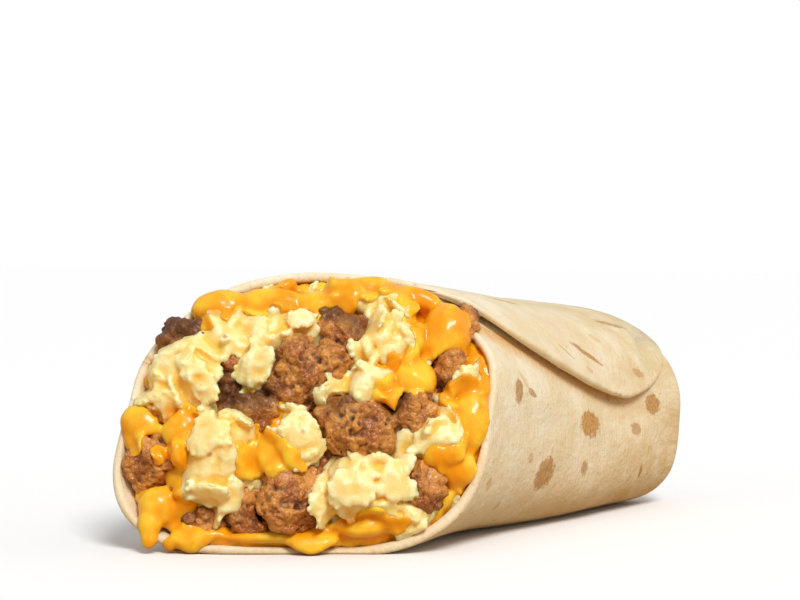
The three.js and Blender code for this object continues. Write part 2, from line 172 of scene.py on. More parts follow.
# How readily sauce lies over each of these pieces
SAUCE_FILM_REACH = (("egg_curds", 0.25), ("sausage_crumbles", -0.2))

# Looking into the mouth for gaps between the pieces: how often, and lengths in millimetres
GAP_TRIES = 4200
GAP_HALF_WIDTH = 37
GAP_HALF_HEIGHT = 29
GAP_VIEW_DISTANCE = 25
GAP_ROOM = 0.9
GAP_SPACING = 1.4
GAP_WIDE_ROOM = 4

EGG_NODES = sorted(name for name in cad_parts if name.startswith("egg_"))
SAUSAGE_NODES = sorted(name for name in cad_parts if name.startswith("sausage_"))
CHEESE_NODES = sorted(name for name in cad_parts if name.startswith("cheese_"))


# Shaping helpers

def smoothstep(value, low, high):
    share = np.clip((value - low) / (high - low), 0.0, 1.0)
    return share * share * (3.0 - 2.0 * share)


def lattice_values(cells, seed):
    """A steady pseudo-random number from 0 to 1 for each whole-numbered cell."""
    x, y, z = (cells[:, axis].astype(np.uint32) for axis in range(3))
    mixed = x * np.uint32(374761393) + y * np.uint32(668265263) + z * np.uint32(2147483647)
    mixed = mixed + np.uint32(seed * 1274126177 % 4294967296)
    mixed = (mixed ^ (mixed >> np.uint32(13))) * np.uint32(1274126177)
    mixed = mixed ^ (mixed >> np.uint32(16))
    return mixed.astype(np.float64) / 4294967295.0


def soft_noise(places, size, seed):
    """Smooth noise from -1 to 1 whose bumps are about size across; places and size in one unit."""
    scaled = places / size + 1000.0
    base = np.floor(scaled).astype(np.int64)
    within = scaled - base
    within = within * within * (3.0 - 2.0 * within)
    total = np.zeros(len(places))
    for corner in range(8):
        step = np.array([corner & 1, (corner >> 1) & 1, (corner >> 2) & 1])
        weight = np.prod(np.where(step == 1, within, 1.0 - within), axis=1)
        total += weight * lattice_values(base + step, seed)
    return 2.0 * total - 1.0


def grain_noise(places, size, seed):
    """Rounded grains about size across: 1 on top of a grain, near 0 in the creases between them."""
    scaled = places / size + 1000.0
    base = np.floor(scaled).astype(np.int64)
    nearest = np.full(len(places), 9.0)
    for index in range(27):
        cell = base + np.array([index % 3 - 1, index // 3 % 3 - 1, index // 9 - 1])
        away = scaled - cell
        for axis in range(3):
            away[:, axis] -= 0.15 + 0.7 * lattice_values(cell, seed + 7 * axis)
        nearest = np.minimum(nearest, (away * away).sum(axis=1))
    return 1.0 - np.minimum(nearest, 1.0)


def layered_noise(places, *layers):
    """Soft noise summed over layers, each with its height, its size in millimetres and its seed."""
    return sum(height * soft_noise(places, size * MM, seed) for height, size, seed in layers)


def read_rows(items, name, width, kind=np.float64):
    """One row of numbers for each of a mesh's items."""
    values = np.empty(width * len(items), dtype=kind)
    items.foreach_get(name, values)
    return values.reshape(-1, width)


def mesh_places(mesh):
    return read_rows(mesh.vertices, "co", 3)


def mesh_normals(mesh):
    return read_rows(mesh.vertex_normals, "vector", 3)


def set_places(mesh, places):
    mesh.vertices.foreach_set("co", places.astype(np.float32).ravel())
    mesh.update()


def neighbour_mean(places, edges, counts):
    """The mean place of the points that each point shares an edge with."""
    total = np.zeros_like(places)
    for axis in range(places.shape[1]):
        total[:, axis] = np.bincount(edges[:, 0], places[edges[:, 1], axis], len(places))
        total[:, axis] += np.bincount(edges[:, 1], places[edges[:, 0], axis], len(places))
    return total / counts[:, None]


def mesh_edges(mesh):
    """Each edge's two points, and how many edges meet at each point."""
    edges = read_rows(mesh.edges, "vertices", 2, np.int32)
    return edges, np.maximum(np.bincount(edges.ravel(), minlength=len(mesh.vertices)), 1)


def soften(mesh, steps):
    edges, counts = mesh_edges(mesh)
    places = mesh_places(mesh)
    for _ in range(steps):
        places = 0.5 * places + 0.5 * neighbour_mean(places, edges, counts)
    set_places(mesh, places)


def standing_out(mesh, steps, reach):
    """How far each point stands out of its surroundings: 0 in a crevice, 0.5 level, 1 on a ridge."""
    edges, counts = mesh_edges(mesh)
    places = mesh_places(mesh)
    smooth = places.copy()
    for _ in range(steps):
        smooth = neighbour_mean(smooth, edges, counts)
    relief = ((places - smooth) * mesh_normals(mesh)).sum(axis=1) / reach
    return np.clip(0.5 + 0.5 * relief, 0.0, 1.0)


def store_value(mesh, name, values):
    layer = mesh.attributes.new(name, "FLOAT", "POINT")
    layer.data.foreach_set("value", np.clip(values, 0.0, 1.0).astype(np.float32))


def push_out(mesh, distances):
    """Moves each point along its normal, and never below the surface the burrito rests on."""
    places = mesh_places(mesh) + mesh_normals(mesh) * distances[:, None]
    places[:, 2] = np.maximum(places[:, 2], 0.0)
    set_places(mesh, places)


def new_object(name, data):
    made = bpy.data.objects.new(name, data)
    bpy.context.scene.collection.objects.link(made)
    return made


def add_piece(name, mesh, material, slot, *nodes):
    """A finished piece: it rides on the part's body, and stands in for its CAD nodes."""
    for polygon in mesh.polygons:
        polygon.use_smooth = True
    piece = new_object(name, mesh)
    piece.data.materials.clear()
    piece.data.materials.append(material)
    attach(piece, "root")
    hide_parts(*nodes)


def as_mesh(bm, name="loose"):
    """The bmesh as a mesh. Frees the bmesh."""
    mesh = bpy.data.meshes.new(name)
    bm.to_mesh(mesh)
    bm.free()
    return mesh


def node_copy(*names):
    """One bmesh of copies of CAD nodes, each with its loose triangles merged."""
    whole = bmesh.new()
    for name in names:
        part = bmesh.new()
        part.from_mesh(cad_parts[name].data)
        bmesh.ops.remove_doubles(part, verts=part.verts, dist=0.01 * MM)
        if name in PROUD_PIECES:
            larger, out = PROUD_PIECES[name]
            middle = sum((vert.co for vert in part.verts), Vector()) / len(part.verts)
            grow = Matrix.Translation(middle + MOUTH_NORMAL * out * MM) @ Matrix.Scale(larger, 4)
            bmesh.ops.transform(part, matrix=grow @ Matrix.Translation(-middle), verts=part.verts)
        mesh = as_mesh(part)
        whole.from_mesh(mesh)
        bpy.data.meshes.remove(mesh)
    whole.normal_update()
    return whole


def inset_copy(inset, names):
    """A copy of CAD nodes with its surface moved in, to leave room for what lies on it."""
    whole = node_copy(*names)
    for vert in whole.verts:
        vert.co -= vert.normal * inset * MM
    return whole


def surface_tree(*names):
    """A search tree of CAD nodes' surfaces."""
    copy = node_copy(*names)
    tree = BVHTree.FromBMesh(copy)
    copy.free()
    return tree


def surface_draws(name, spacing, draw):
    """Random places and normals all over a node's surface, one for each spacing by spacing of it."""
    source = node_copy(name)
    bmesh.ops.triangulate(source, faces=source.faces)
    faces = list(source.faces)
    areas = [face.calc_area() for face in faces]
    count = max(6, round(sum(areas) / spacing ** 2))
    found = []
    for face in draw.choices(faces, weights=areas, k=count):
        first, second = sorted((draw.random(), draw.random()))
        corners = [vert.co for vert in face.verts]
        place = corners[0] * first + corners[1] * (second - first) + corners[2] * (1 - second)
        found.append((place, face.normal.copy()))
    source.free()
    return found


def ball_mesh(subdivisions):
    bm = bmesh.new()
    bmesh.ops.create_icosphere(bm, subdivisions=subdivisions, radius=1.0)
    return as_mesh(bm)


def random_way(draw):
    return Vector((draw.gauss(0, 1), draw.gauss(0, 1), draw.gauss(0, 1))).normalized()


def facing(normal, draw):
    """A turn that lays an upright shape along a normal, spun at random."""
    spin = Matrix.Rotation(draw.uniform(0, math.tau), 4, "Z")
    return normal.to_track_quat("Z", "Y").to_matrix().to_4x4() @ spin


def add_lump(bm, ball, place, radii, turn):
    """Adds a stretched, turned copy of the ball."""
    lump = ball.copy()
    lump.transform(Matrix.Translation(place) @ turn @ Matrix.Diagonal((*radii, 1.0)))
    bm.from_mesh(lump, face_normals=False, vertex_normals=False)
    bpy.data.meshes.remove(lump)


def finished_mesh(*loose):
    """The first object's mesh with its modifiers applied. Removes the objects."""
    joined = bpy.data.meshes.new_from_object(loose[0].evaluated_get(bpy.context.evaluated_depsgraph_get()))
    for made in loose:
        mesh = made.data
        bpy.data.objects.remove(made)
        bpy.data.meshes.remove(mesh)
    return joined


def grown_together(bm, voxel):
    """The bmesh's overlapping shapes as one skin of small squares. Frees the bmesh."""
    loose = new_object("loose", as_mesh(bm))
    remesh = loose.modifiers.new("Remesh", "REMESH")
    remesh.mode = "VOXEL"
    remesh.voxel_size = voxel
    return finished_mesh(loose)


def united(first, second):
    """Two closed meshes as one skin with nothing left inside it."""
    pair = [new_object("loose", mesh) for mesh in (first, second)]
    union = pair[0].modifiers.new("Union", "BOOLEAN")
    union.operation = "UNION"
    union.solver = "MANIFOLD"
    union.object = pair[1]
    return finished_mesh(*pair)


# The roll's surface, worked out for arrays of places along it and angles round it

def section_radius(angle):
    """The roll's section as a share of its half width and half height: rounder on top than below."""
    across = np.abs(np.sin(angle))
    upright = np.abs(np.cos(angle))
    power = np.where(np.cos(angle) > 0, TOP_ROUNDNESS, BOTTOM_ROUNDNESS)
    return (across ** power + upright ** power) ** (-1 / power)


def half_sizes(x):
    """The roll's half width and half height, which taper from its mouth to its end."""
    u = np.clip(x / ROLL_LENGTH, 0, 1)
    share = 0.5 * u * u * (3 - 2 * u) + 0.5 * u
    width = MOUTH_HALF_WIDTH + (END_HALF_WIDTH - MOUTH_HALF_WIDTH) * share
    return width, MOUTH_HALF_HEIGHT + (END_HALF_HEIGHT - MOUTH_HALF_HEIGHT) * share


def end_shrink(x, depth):
    """How far the section has shrunk at a place along the rounded end: 1 before it, 0 at its tip."""
    reach = np.clip((x - BODY_END) / (END_ROUNDING - depth), 0, 1)
    return (1 - reach ** END_ROUNDNESS) ** (1 / END_ROUNDNESS)


def swell(x, angle):
    """The slow waves of the sheet over the lumpy filling."""
    fade = smoothstep(ROLL_LENGTH - x, 0, 2 * END_ROUNDING)
    wave = np.sin(3 * angle + x / 15) + 0.7 * np.sin(5 * angle - x / 21 + 1)
    return SHEET_SWELL * fade * (wave + 0.6 * np.sin(x / 9 + 2 * angle))


def roll_point(x, angle, depth, shrink):
    """A point of the roll at a depth under its outermost surface, shrunk towards its axis."""
    width, height = half_sizes(x)
    radius = section_radius(angle) * shrink
    lift = swell(x, angle)
    y = -(width - depth + lift) * radius * np.sin(angle) + ROLL_BOW * (x / ROLL_LENGTH) ** 2
    z = height + (height - depth + lift) * radius * np.cos(angle) - REST_FLAT
    return np.stack([x, y, np.maximum(z, REST_SQUEEZE * np.maximum(depth, 0))], axis=-1)


def rim_x(angle):
    """Where the slanted lip lies along the roll."""
    radius = section_radius(angle)
    tall = 0.5 + 0.5 * radius * np.cos(angle)
    front = 0.5 + 0.5 * radius * np.sin(angle)
    wave = RIM_WAVE * (np.sin(3 * angle + 0.6) + 0.6 * np.sin(7 * angle))
    return MOUTH_LEAN * tall + MOUTH_LEAN_CURVE * (tall * tall - tall) + MOUTH_SLANT * front + wave


def edge_curve(steps):
    """Evenly spaced points of the flap's free edge on the unrolled sheet, and normals away from the flap."""
    knots = np.array([(x, math.radians(degrees) * UNROLL_RADIUS) for x, degrees in FLAP_EDGE])
    padded = np.vstack([2 * knots[0] - knots[1], knots, 2 * knots[-1] - knots[-2]])
    fine = []
    for index in range(len(knots) - 1):
        before, start, end, after = padded[index:index + 4]
        t = np.linspace(0, 1, 40, endpoint=False)[:, None]
        fine.append(0.5 * (
            2 * start + (end - before) * t + (2 * before - 5 * start + 4 * end - after) * t ** 2
            + (3 * start - before - 3 * end + after) * t ** 3
        ))
    fine = np.vstack([*fine, knots[-1:]])
    lengths = np.concatenate([[0], np.cumsum(np.linalg.norm(np.diff(fine, axis=0), axis=1))])
    even = np.linspace(0, lengths[-1], steps + 1)
    points = np.stack([np.interp(even, lengths, fine[:, axis]) for axis in range(2)], axis=1)
    along = np.gradient(points, axis=0)
    along /= np.linalg.norm(along, axis=1)[:, None]
    return points, np.stack([-along[:, 1], along[:, 0]], axis=1)


EDGE_STEPS = 240
EDGE_POINTS, EDGE_NORMALS = edge_curve(EDGE_STEPS)

# Angles are counted from this turn less half a round, so that the flap's edge is nowhere cut in two,
# and distances are worked out for this many places at a time
WRAP_TURN = 0.3
BATCH = 4000


def edge_fade(index):
    """How far the flap stands on the roll: in full, then settling into it at its far end."""
    return 1 - smoothstep(index / EDGE_STEPS, *FLAP_FADE)


def edge_thinning(index):
    """How much of its thickness the flap keeps along its edge: less past its corner."""
    return 1 - FLAP_CORNER_DROP * smoothstep(index / EDGE_STEPS, *FLAP_CORNER)


def edge_strength(index):
    """How thick the flap's edge stands: in full towards the mouth, thin past its corner, gone at its end."""
    return edge_fade(index) * edge_thinning(index)


def from_flap_edge(x, angle):
    """How far places lie outside the flap's edge (negative under the flap), and how strong the edge is."""
    wrapped = np.arctan2(np.sin(angle - WRAP_TURN), np.cos(angle - WRAP_TURN)) + WRAP_TURN
    places = np.stack([x, wrapped * UNROLL_RADIUS], axis=-1).reshape(-1, 2)
    nearest = np.empty(len(places))
    which = np.empty(len(places), dtype=int)
    for start in range(0, len(places), BATCH):
        batch = slice(start, start + BATCH)
        distances = np.linalg.norm(places[batch, None, :] - EDGE_POINTS[None, :, :], axis=2)
        which[batch] = distances.argmin(axis=1)
        nearest[batch] = distances.min(axis=1)
    side = ((places - EDGE_POINTS[which]) * EDGE_NORMALS[which]).sum(axis=1)
    signed = np.where(side > 0, nearest, -nearest)
    return signed.reshape(x.shape), edge_strength(which).reshape(x.shape)


def dips(x, angle):
    """How far the sheet's outside and inside sink where the flap lies on it."""
    distance, strength = from_flap_edge(x, angle)
    ply = (FLAP_SHEET + FLAP_GAP) * strength
    beside = 1 - smoothstep(distance, 0, FLAP_SETTLE)
    outside = 1 - smoothstep(-distance, FLAP_SHADOW_REACH, FLAP_SHADOW_END)
    inside = 1 - smoothstep(-distance, FLAP_SHADOW_END, FLAP_SHADOW_END + FLAP_SETTLE)
    return np.stack([ply * np.where(distance > 0, beside, under) for under in (outside, inside)])


def to_frame(places):
    """The roll's millimetres as metres in the frame, whose origin is under the middle of the part's box."""
    return places * MM + np.array(ROLL_SHIFT)


def past_folds(angle, shrink):
    """How far the end's places lie past the side fold's edge, past the last fold's, and in from the rim."""
    across = shrink * np.sin(angle)
    up = shrink * np.cos(angle)
    wave = 0.04 * np.sin(9 * across + 7 * up)
    return -across - 0.3 * up + wave - 0.12, up - 0.25 * across + wave, smoothstep(1 - shrink, 0.06, 0.28)


def end_face(x, angle, shrink):
    """The tucked end's face: dished and pleated, a side fold laid over it and the last fold over that."""
    dish = END_DISH * smoothstep(1 - shrink, 0.04, 0.65)
    pleat = END_PLEAT * np.sin(5 * angle + 0.8) * np.sin(np.pi * shrink)
    side, last, inside = past_folds(angle, shrink)
    folds = SIDE_FOLD * smoothstep(side, 0.0, FOLD_EDGE) + LAST_FOLD * smoothstep(last, 0.0, FOLD_EDGE)
    dents = np.exp(-(side / FOLD_DENT) ** 2) * (last < 0) + np.exp(-(last / FOLD_DENT) ** 2)
    return x + pleat - dish + inside * (folds - 0.5 * dents)


def end_x(shrink, depth):
    """Where the rounded end lies along the roll, at a share of its radius."""
    return BODY_END + (END_ROUNDING - depth) * (1 - shrink ** END_ROUNDNESS) ** (1 / END_ROUNDNESS)


def bent_grid(name, columns, rows, place, sheet_place):
    """A flat grid bent into shape. place and sheet_place take column and row numbers as arrays."""
    bm = bmesh.new()
    bm.loops.layers.uv.new("Sheet")
    bmesh.ops.create_grid(bm, x_segments=columns, y_segments=rows, size=0.5, calc_uvs=True)
    mesh = as_mesh(bm, name)
    flat = mesh_places(mesh)
    column = np.rint((flat[:, 0] + 0.5) * columns).astype(int)
    row = np.rint((flat[:, 1] + 0.5) * rows).astype(int)
    corners = mesh.uv_layers[0].uv
    uvs = read_rows(corners, "vector", 2)
    sheet = sheet_place(np.rint(uvs[:, 0] * columns).astype(int), np.rint(uvs[:, 1] * rows).astype(int))
    corners.foreach_set("vector", (sheet * SHEET_UNIT).astype(np.float32).ravel())
    set_places(mesh, place(column, row))
    return mesh


def closed_mesh(*meshes):
    """The meshes in one, with the seams where their edges meet welded and faces turned outwards."""
    bm = bmesh.new()
    for mesh in meshes:
        bm.from_mesh(mesh)
    bmesh.ops.remove_doubles(bm, verts=bm.verts, dist=0.002 * MM)
    bmesh.ops.dissolve_degenerate(bm, edges=bm.edges, dist=0.001 * MM)
    bmesh.ops.holes_fill(bm, edges=[edge for edge in bm.edges if edge.is_boundary])
    bmesh.ops.recalc_face_normals(bm, faces=bm.faces)
    whole = meshes[0]
    bm.to_mesh(whole)
    bm.free()
    for mesh in meshes[1:]:
        bpy.data.meshes.remove(mesh)
    return whole


def on_roll(places):
    """Where places in the frame lie: millimetres along the roll, angle round it, and share of its radius."""
    places = (places - np.array(ROLL_SHIFT)) / MM
    x = places[:, 0]
    width, height = half_sizes(x)
    across = -(places[:, 1] - ROLL_BOW * (x / ROLL_LENGTH) ** 2) / width
    upright = (places[:, 2] + REST_FLAT - height) / height
    angle = np.arctan2(across, upright)
    return x, angle, np.hypot(across, upright) / section_radius(angle)


def creases(mesh):
    """How much painted shade each point gets, by how deep in a crease it lies: beneath the flap's free edge,
    or along the end's folds.
    """
    x, angle, radius = on_roll(mesh_places(mesh))
    distance, strength = from_flap_edge(x, angle)
    beside = np.where(distance > -1, 1 - smoothstep(distance, 0.2, 5.0), 0)
    flap = beside * strength * smoothstep(1 - radius, 0.02, 0.045) * smoothstep(BODY_END - x, 0, 8)
    side, last, inside = past_folds(angle, radius)
    along_side = np.exp(-((side + 0.01) / 0.035) ** 2) * (last < 0)
    along_last = np.exp(-((last + 0.01) / 0.035) ** 2)
    end = inside * np.maximum(along_side, along_last) * smoothstep(x - BODY_END, 4, 6)
    return np.maximum(flap, 0.7 * end)


def cup_profile(thickness):
    """Rows from the middle of the inner end, out over the lip and along the outside to the end's middle."""
    inner_end = [0.0, 0.35, 0.65, 0.85, 0.96]
    inner_side = list(np.linspace(1.0, 0.03, 12))
    lip = list(np.linspace(0, math.pi, 9))
    outer_side = list(np.linspace(0.004, 1.0, 130))
    outer_end = list(np.cos(np.linspace(0, math.pi / 2, 40))[1:])
    rows = [(1.0, shrink, 1.0, 0.0) for shrink in inner_end]
    rows += [(along, 1.0, 1.0, 0.0) for along in inner_side]
    rows += [
        (0.0, 1.0, 0.5 + 0.5 * math.cos(turn), 0.5 * thickness * math.sin(turn)) for turn in lip
    ]
    rows += [(along, 1.0, 0.0, 0.0) for along in outer_side]
    rows += [(1.0, shrink, 0.0, 0.0) for shrink in outer_end]
    return np.array(rows)


def cup_mesh(thickness):
    """The tortilla's sheet as a cup: one closed skin with an inside, a rounded lip and an outside."""
    around = 200
    profile = cup_profile(thickness)

    def spots(column, row):
        angle = math.tau * (column / around - 0.5)
        along, shrink, share, lip = profile[row].T
        return angle, along, shrink, share, (1 - along) * rim_x(angle) + along * BODY_END - lip

    def place(column, row):
        angle, along, shrink, share, x = spots(column, row)
        nominal = np.where(along == 1.0, end_x(shrink, share * thickness), x)
        outer_dip, inner_dip = dips(nominal, angle) * smoothstep(shrink, 0.3, 0.9)
        depth = outer_dip * (1 - share) + (thickness + inner_dip) * share
        on_end = (along == 1.0) & (shrink < 1.0)
        x = np.where(on_end, end_x(shrink, depth), x)
        points = roll_point(x, angle, depth, np.where(on_end, shrink, 1.0))
        points[:, 0] = np.where(on_end, end_face(points[:, 0], angle, shrink), points[:, 0])
        return to_frame(points)

    def sheet_place(column, row):
        angle, _, shrink, _, x = spots(column, row)
        return np.stack([x + (1 - shrink) * END_HALF_WIDTH, angle * UNROLL_RADIUS * shrink], axis=1)

    return bent_grid("cup", around, len(profile) - 1, place, sheet_place)


def flap_mesh():
    """The free flap: a strip of the sheet along its rounded edge, lifted there and settled at its root."""
    top = np.linspace(1, 0, 16) ** 1.4
    nose = np.linspace(0, math.pi, 7)[1:-1]
    section = [(across * FLAP_STRIP, 0.0, 0.0) for across in top]
    section += [(0.0, 0.5 - 0.5 * math.cos(turn), math.sin(turn)) for turn in nose]
    section += [(across * FLAP_STRIP, 1.0, 0.0) for across in top[::-1]]
    section = np.array(section + section[:1])
    start_angle = EDGE_POINTS[0, 1] / UNROLL_RADIUS

    def strip_place(index, across, out):
        edge = EDGE_POINTS[index]
        turned = across / UNROLL_RADIUS
        rim_way = np.stack([
            rim_x(start_angle - turned) - 0.3 + edge[:, 0] - EDGE_POINTS[0, 0],
            edge[:, 1] - across + out,
        ], axis=1)
        square = edge + EDGE_NORMALS[index] * (out - across)[:, None]
        share = smoothstep(index / EDGE_STEPS, 0, 0.15)[:, None]
        return rim_way * (1 - share) + square * share

    def place(column, row):
        across, under, nose_out = section[column].T
        lift = FLAP_LIFT * edge_strength(row) * np.maximum(0, 1 - across / FLAP_LIFT_REACH) ** 2
        root = smoothstep(across, 0.69 * FLAP_STRIP, FLAP_STRIP)
        ends = np.sqrt(np.clip(row / 2.5, 0.1, 1)) * np.sqrt(np.clip((EDGE_STEPS - row) / 3, 0.1, 1))
        thickness = FLAP_SHEET * edge_thinning(row) * (1 - 0.5 * root) * ends
        sunk = np.maximum(0.35 * root, 0.75 * (1 - edge_fade(row))) - 0.03
        depth = sunk - lift + 0.5 * FLAP_SHEET * (1 - ends) + thickness * under
        spot = strip_place(row, across, 0.5 * FLAP_SHEET * nose_out * ends)
        x = spot[:, 0]
        points = roll_point(x, spot[:, 1] / UNROLL_RADIUS, depth, end_shrink(x, depth))
        return to_frame(points)

    def sheet_place(column, row):
        across, _, nose_out = section[column].T
        return strip_place(row, across, 0.5 * FLAP_SHEET * nose_out)

    return bent_grid("flap", len(section) - 1, EDGE_STEPS, place, sheet_place)


def roll_shift():
    """How far the roll is moved, in metres, so that it lies where its solid does."""
    low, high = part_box("tortilla")
    angle = np.linspace(-math.pi, math.pi, 2000)
    x = np.linspace(4, 126, 60)
    sides = roll_point(*np.meshgrid(x, angle), 0.0, 1.0).reshape(-1, 3)
    kept = sides[:, 0] >= rim_x(np.repeat(angle, len(x)))
    middle_y = 0.5 * (sides[kept, 1].min() + sides[kept, 1].max())
    rim = roll_point(rim_x(angle), angle, 0.0, 1.0)
    return (low[0] - rim[:, 0].min() * MM, 0.5 * (low[1] + high[1]) - middle_y * MM, 0.0)


ROLL_SHIFT = roll_shift()


# Materials

def new_material(name):
    """A material, its node tree and its Principled shader."""
    material = bpy.data.materials.new(name)
    material.use_nodes = True
    tree = material.node_tree
    return material, tree, tree.nodes["Principled BSDF"]


def set_inputs(tree, made, **inputs):
    """Joins each input to a socket or gives it a value. Its name is in words, or i and its number."""
    for name, value in inputs.items():
        socket = made.inputs[int(name[1:]) if name[1:].isdigit() else name.replace("_", " ")]
        if isinstance(value, bpy.types.NodeSocket):
            tree.links.new(value, socket)
        else:
            socket.default_value = value


def node(tree, kind, settings=None, **inputs):
    """A node with its settings, and each input joined to a socket or given a value."""
    made = tree.nodes.new(kind)
    for name, value in (settings or {}).items():
        setattr(made, name, value)
    set_inputs(tree, made, **inputs)
    return made


def math_node(tree, operation, first, second=0.0):
    return node(tree, "ShaderNodeMath", {"operation": operation}, i0=first, i1=second).outputs[0]


def plus(tree, first, second):
    return math_node(tree, "ADD", first, second)


def minus(tree, first, second):
    return math_node(tree, "SUBTRACT", first, second)


def times(tree, first, second):
    return math_node(tree, "MULTIPLY", first, second)


def vector_node(tree, operation, first, second=(0.0, 0.0, 0.0)):
    return node(tree, "ShaderNodeVectorMath", {"operation": operation}, i0=first, i1=second).outputs


def ramp(tree, value, low, high, start=0.0, end=1.0):
    """A smooth step from start to end while the value goes from low to high."""
    settings = {"interpolation_type": "SMOOTHSTEP"}
    return node(tree, "ShaderNodeMapRange", settings, i0=value, i1=low, i2=high, i3=start, i4=end).outputs[0]


def blend_colours(tree, share, first, second):
    """Two colours, each a socket or a setting, mixed by a share."""
    ends = [value if isinstance(value, bpy.types.NodeSocket) else (*value, 1.0) for value in (first, second)]
    return node(tree, "ShaderNodeMix", {"data_type": "RGBA"}, i0=share, i6=ends[0], i7=ends[1]).outputs[2]


def noise(tree, vector, scale, detail=3.0, roughness=0.55):
    inputs = {"Vector": vector, "Scale": scale, "Detail": detail, "Roughness": roughness}
    return node(tree, "ShaderNodeTexNoise", **inputs).outputs[0]


def stretched(tree, vector, *scale):
    return node(tree, "ShaderNodeMapping", Vector=vector, Scale=scale).outputs[0]


def cells_and_picks(tree, vector, scale):
    """Scattered cells: the distance to each cell's middle, and random numbers picked for the cell."""
    cells = node(tree, "ShaderNodeTexVoronoi", Vector=vector, Scale=scale)
    picks = node(tree, "ShaderNodeSeparateColor", i0=cells.outputs["Color"]).outputs
    return cells.outputs["Distance"], picks


def bump(tree, height, strength, millimetres, **normal):
    """A bumped normal, over another normal where one is given."""
    inputs = {"Height": height, "Strength": strength, "Distance": millimetres * MM}
    return node(tree, "ShaderNodeBump", **inputs, **normal).outputs[0]


def attribute(tree, name):
    return node(tree, "ShaderNodeAttribute", {"attribute_name": name}).outputs["Fac"]


def object_places(tree):
    return node(tree, "ShaderNodeTexCoord").outputs["Object"]


def in_metres(*millimetres):
    return tuple(length * MM for length in millimetres)


def shared_group(name, inputs, outputs, fill):
    """The node group of that name, built the first time it is asked for."""
    group = bpy.data.node_groups.get(name)
    if group is None:
        group = bpy.data.node_groups.new(name, "ShaderNodeTree")
        for socket, kind in inputs.items():
            group.interface.new_socket(socket, in_out="INPUT", socket_type="NodeSocket" + kind)
        for socket in outputs:
            group.interface.new_socket(socket, in_out="OUTPUT", socket_type="NodeSocketFloat")
        entry = group.nodes.new("NodeGroupInput").outputs
        leave = group.nodes.new("NodeGroupOutput").inputs
        for index, value in enumerate(fill(group, *(entry[socket] for socket in inputs))):
            group.links.new(value, leave[index])
    return group


def use_group(tree, group, *values):
    """Places a shared group with its own values, and gives its outputs."""
    inputs = {f"i{index}": value for index, value in enumerate(values)}
    return node(tree, "ShaderNodeGroup", {"node_tree": group}, **inputs).outputs


def fill_mottle(group, vector, patch_scale, grain_scale):
    patches = noise(group, vector, patch_scale, detail=4.0)
    grain = noise(group, vector, grain_scale, detail=2.0, roughness=0.6)
    return [ramp(group, patches, 0.35, 0.65), ramp(group, grain, 0.3, 0.7)]


def mottle(tree, places, patch_scale, grain_scale):
    """Cloudy patches and fine grain, as two masks from 0 to 1."""
    inputs = {"Vector": "Vector", "Patch Scale": "Float", "Grain Scale": "Float"}
    group = shared_group("Food mottle", inputs, ("Patches", "Grain"), fill_mottle)
    return use_group(tree, group, places, patch_scale, grain_scale)


def fill_specks(group, vector, scale, amount):
    distance, picks = cells_and_picks(group, vector, scale)
    chosen = math_node(group, "LESS_THAN", picks[0], amount)
    return [times(group, chosen, ramp(group, distance, 0.32, 0.12))]


def specks(tree, places, scale, amount):
    """Scattered specks, such as ground pepper, as a mask."""
    inputs = {"Vector": "Vector", "Scale": "Float", "Amount": "Float"}
    group = shared_group("Pepper specks", inputs, ("Specks",), fill_specks)
    return use_group(tree, group, places, scale, amount)[0]


def fill_spot(group, vector, place, turn, size, ragged):
    away = vector_node(group, "SUBTRACT", vector, place)[0]
    turned = node(group, "ShaderNodeVectorRotate", {"rotation_type": "Z_AXIS"}, Vector=away, Angle=turn)
    reach = vector_node(group, "LENGTH", vector_node(group, "DIVIDE", turned.outputs[0], size)[0])["Value"]
    return [ramp(group, plus(group, reach, ragged), 1.2, 0.8)]


def toasted_spot(tree, sheet, spot, ragged):
    """One toasted spot on the sheet: an oval mask with a ragged edge."""
    inputs = {"Vector": "Vector", "Place": "Vector", "Turn": "Float", "Size": "Vector", "Ragged": "Float"}
    group = shared_group("Toasted spot", inputs, ("Mask",), fill_spot)
    x, around, half_length, half_width, turn, dark = spot
    place = (x * SHEET_UNIT, around * SHEET_UNIT, 0.0)
    size = (half_length * SPOT_SPREAD * SHEET_UNIT, half_width * SPOT_SPREAD * SHEET_UNIT, 1.0)
    mask = use_group(tree, group, sheet, place, math.radians(-turn), size, ragged)[0]
    return times(tree, mask, SPOT_DEPTH * dark)


def toasted_spots(tree, sheet, ragged):
    """All toasted spots as one mask: the named ones on the near side, and scattered ones elsewhere."""
    distance, picks = cells_and_picks(tree, sheet, 9.0)
    size = ramp(tree, picks[1], 0.3, 1.0, 0.0, 0.3)
    edge = minus(tree, size, plus(tree, distance, times(tree, ragged, 0.17)))
    scattered = times(tree, ramp(tree, edge, -0.03, 0.08), 0.9)
    around = node(tree, "ShaderNodeSeparateXYZ", i0=sheet).outputs[1]
    far = math_node(tree, "LESS_THAN", around, 0.02)
    under = math_node(tree, "GREATER_THAN", around, 0.72)
    total = times(tree, scattered, plus(tree, far, under))
    for spot in TOASTED_SPOTS:
        total = math_node(tree, "MAXIMUM", total, toasted_spot(tree, sheet, spot, ragged))
    return total


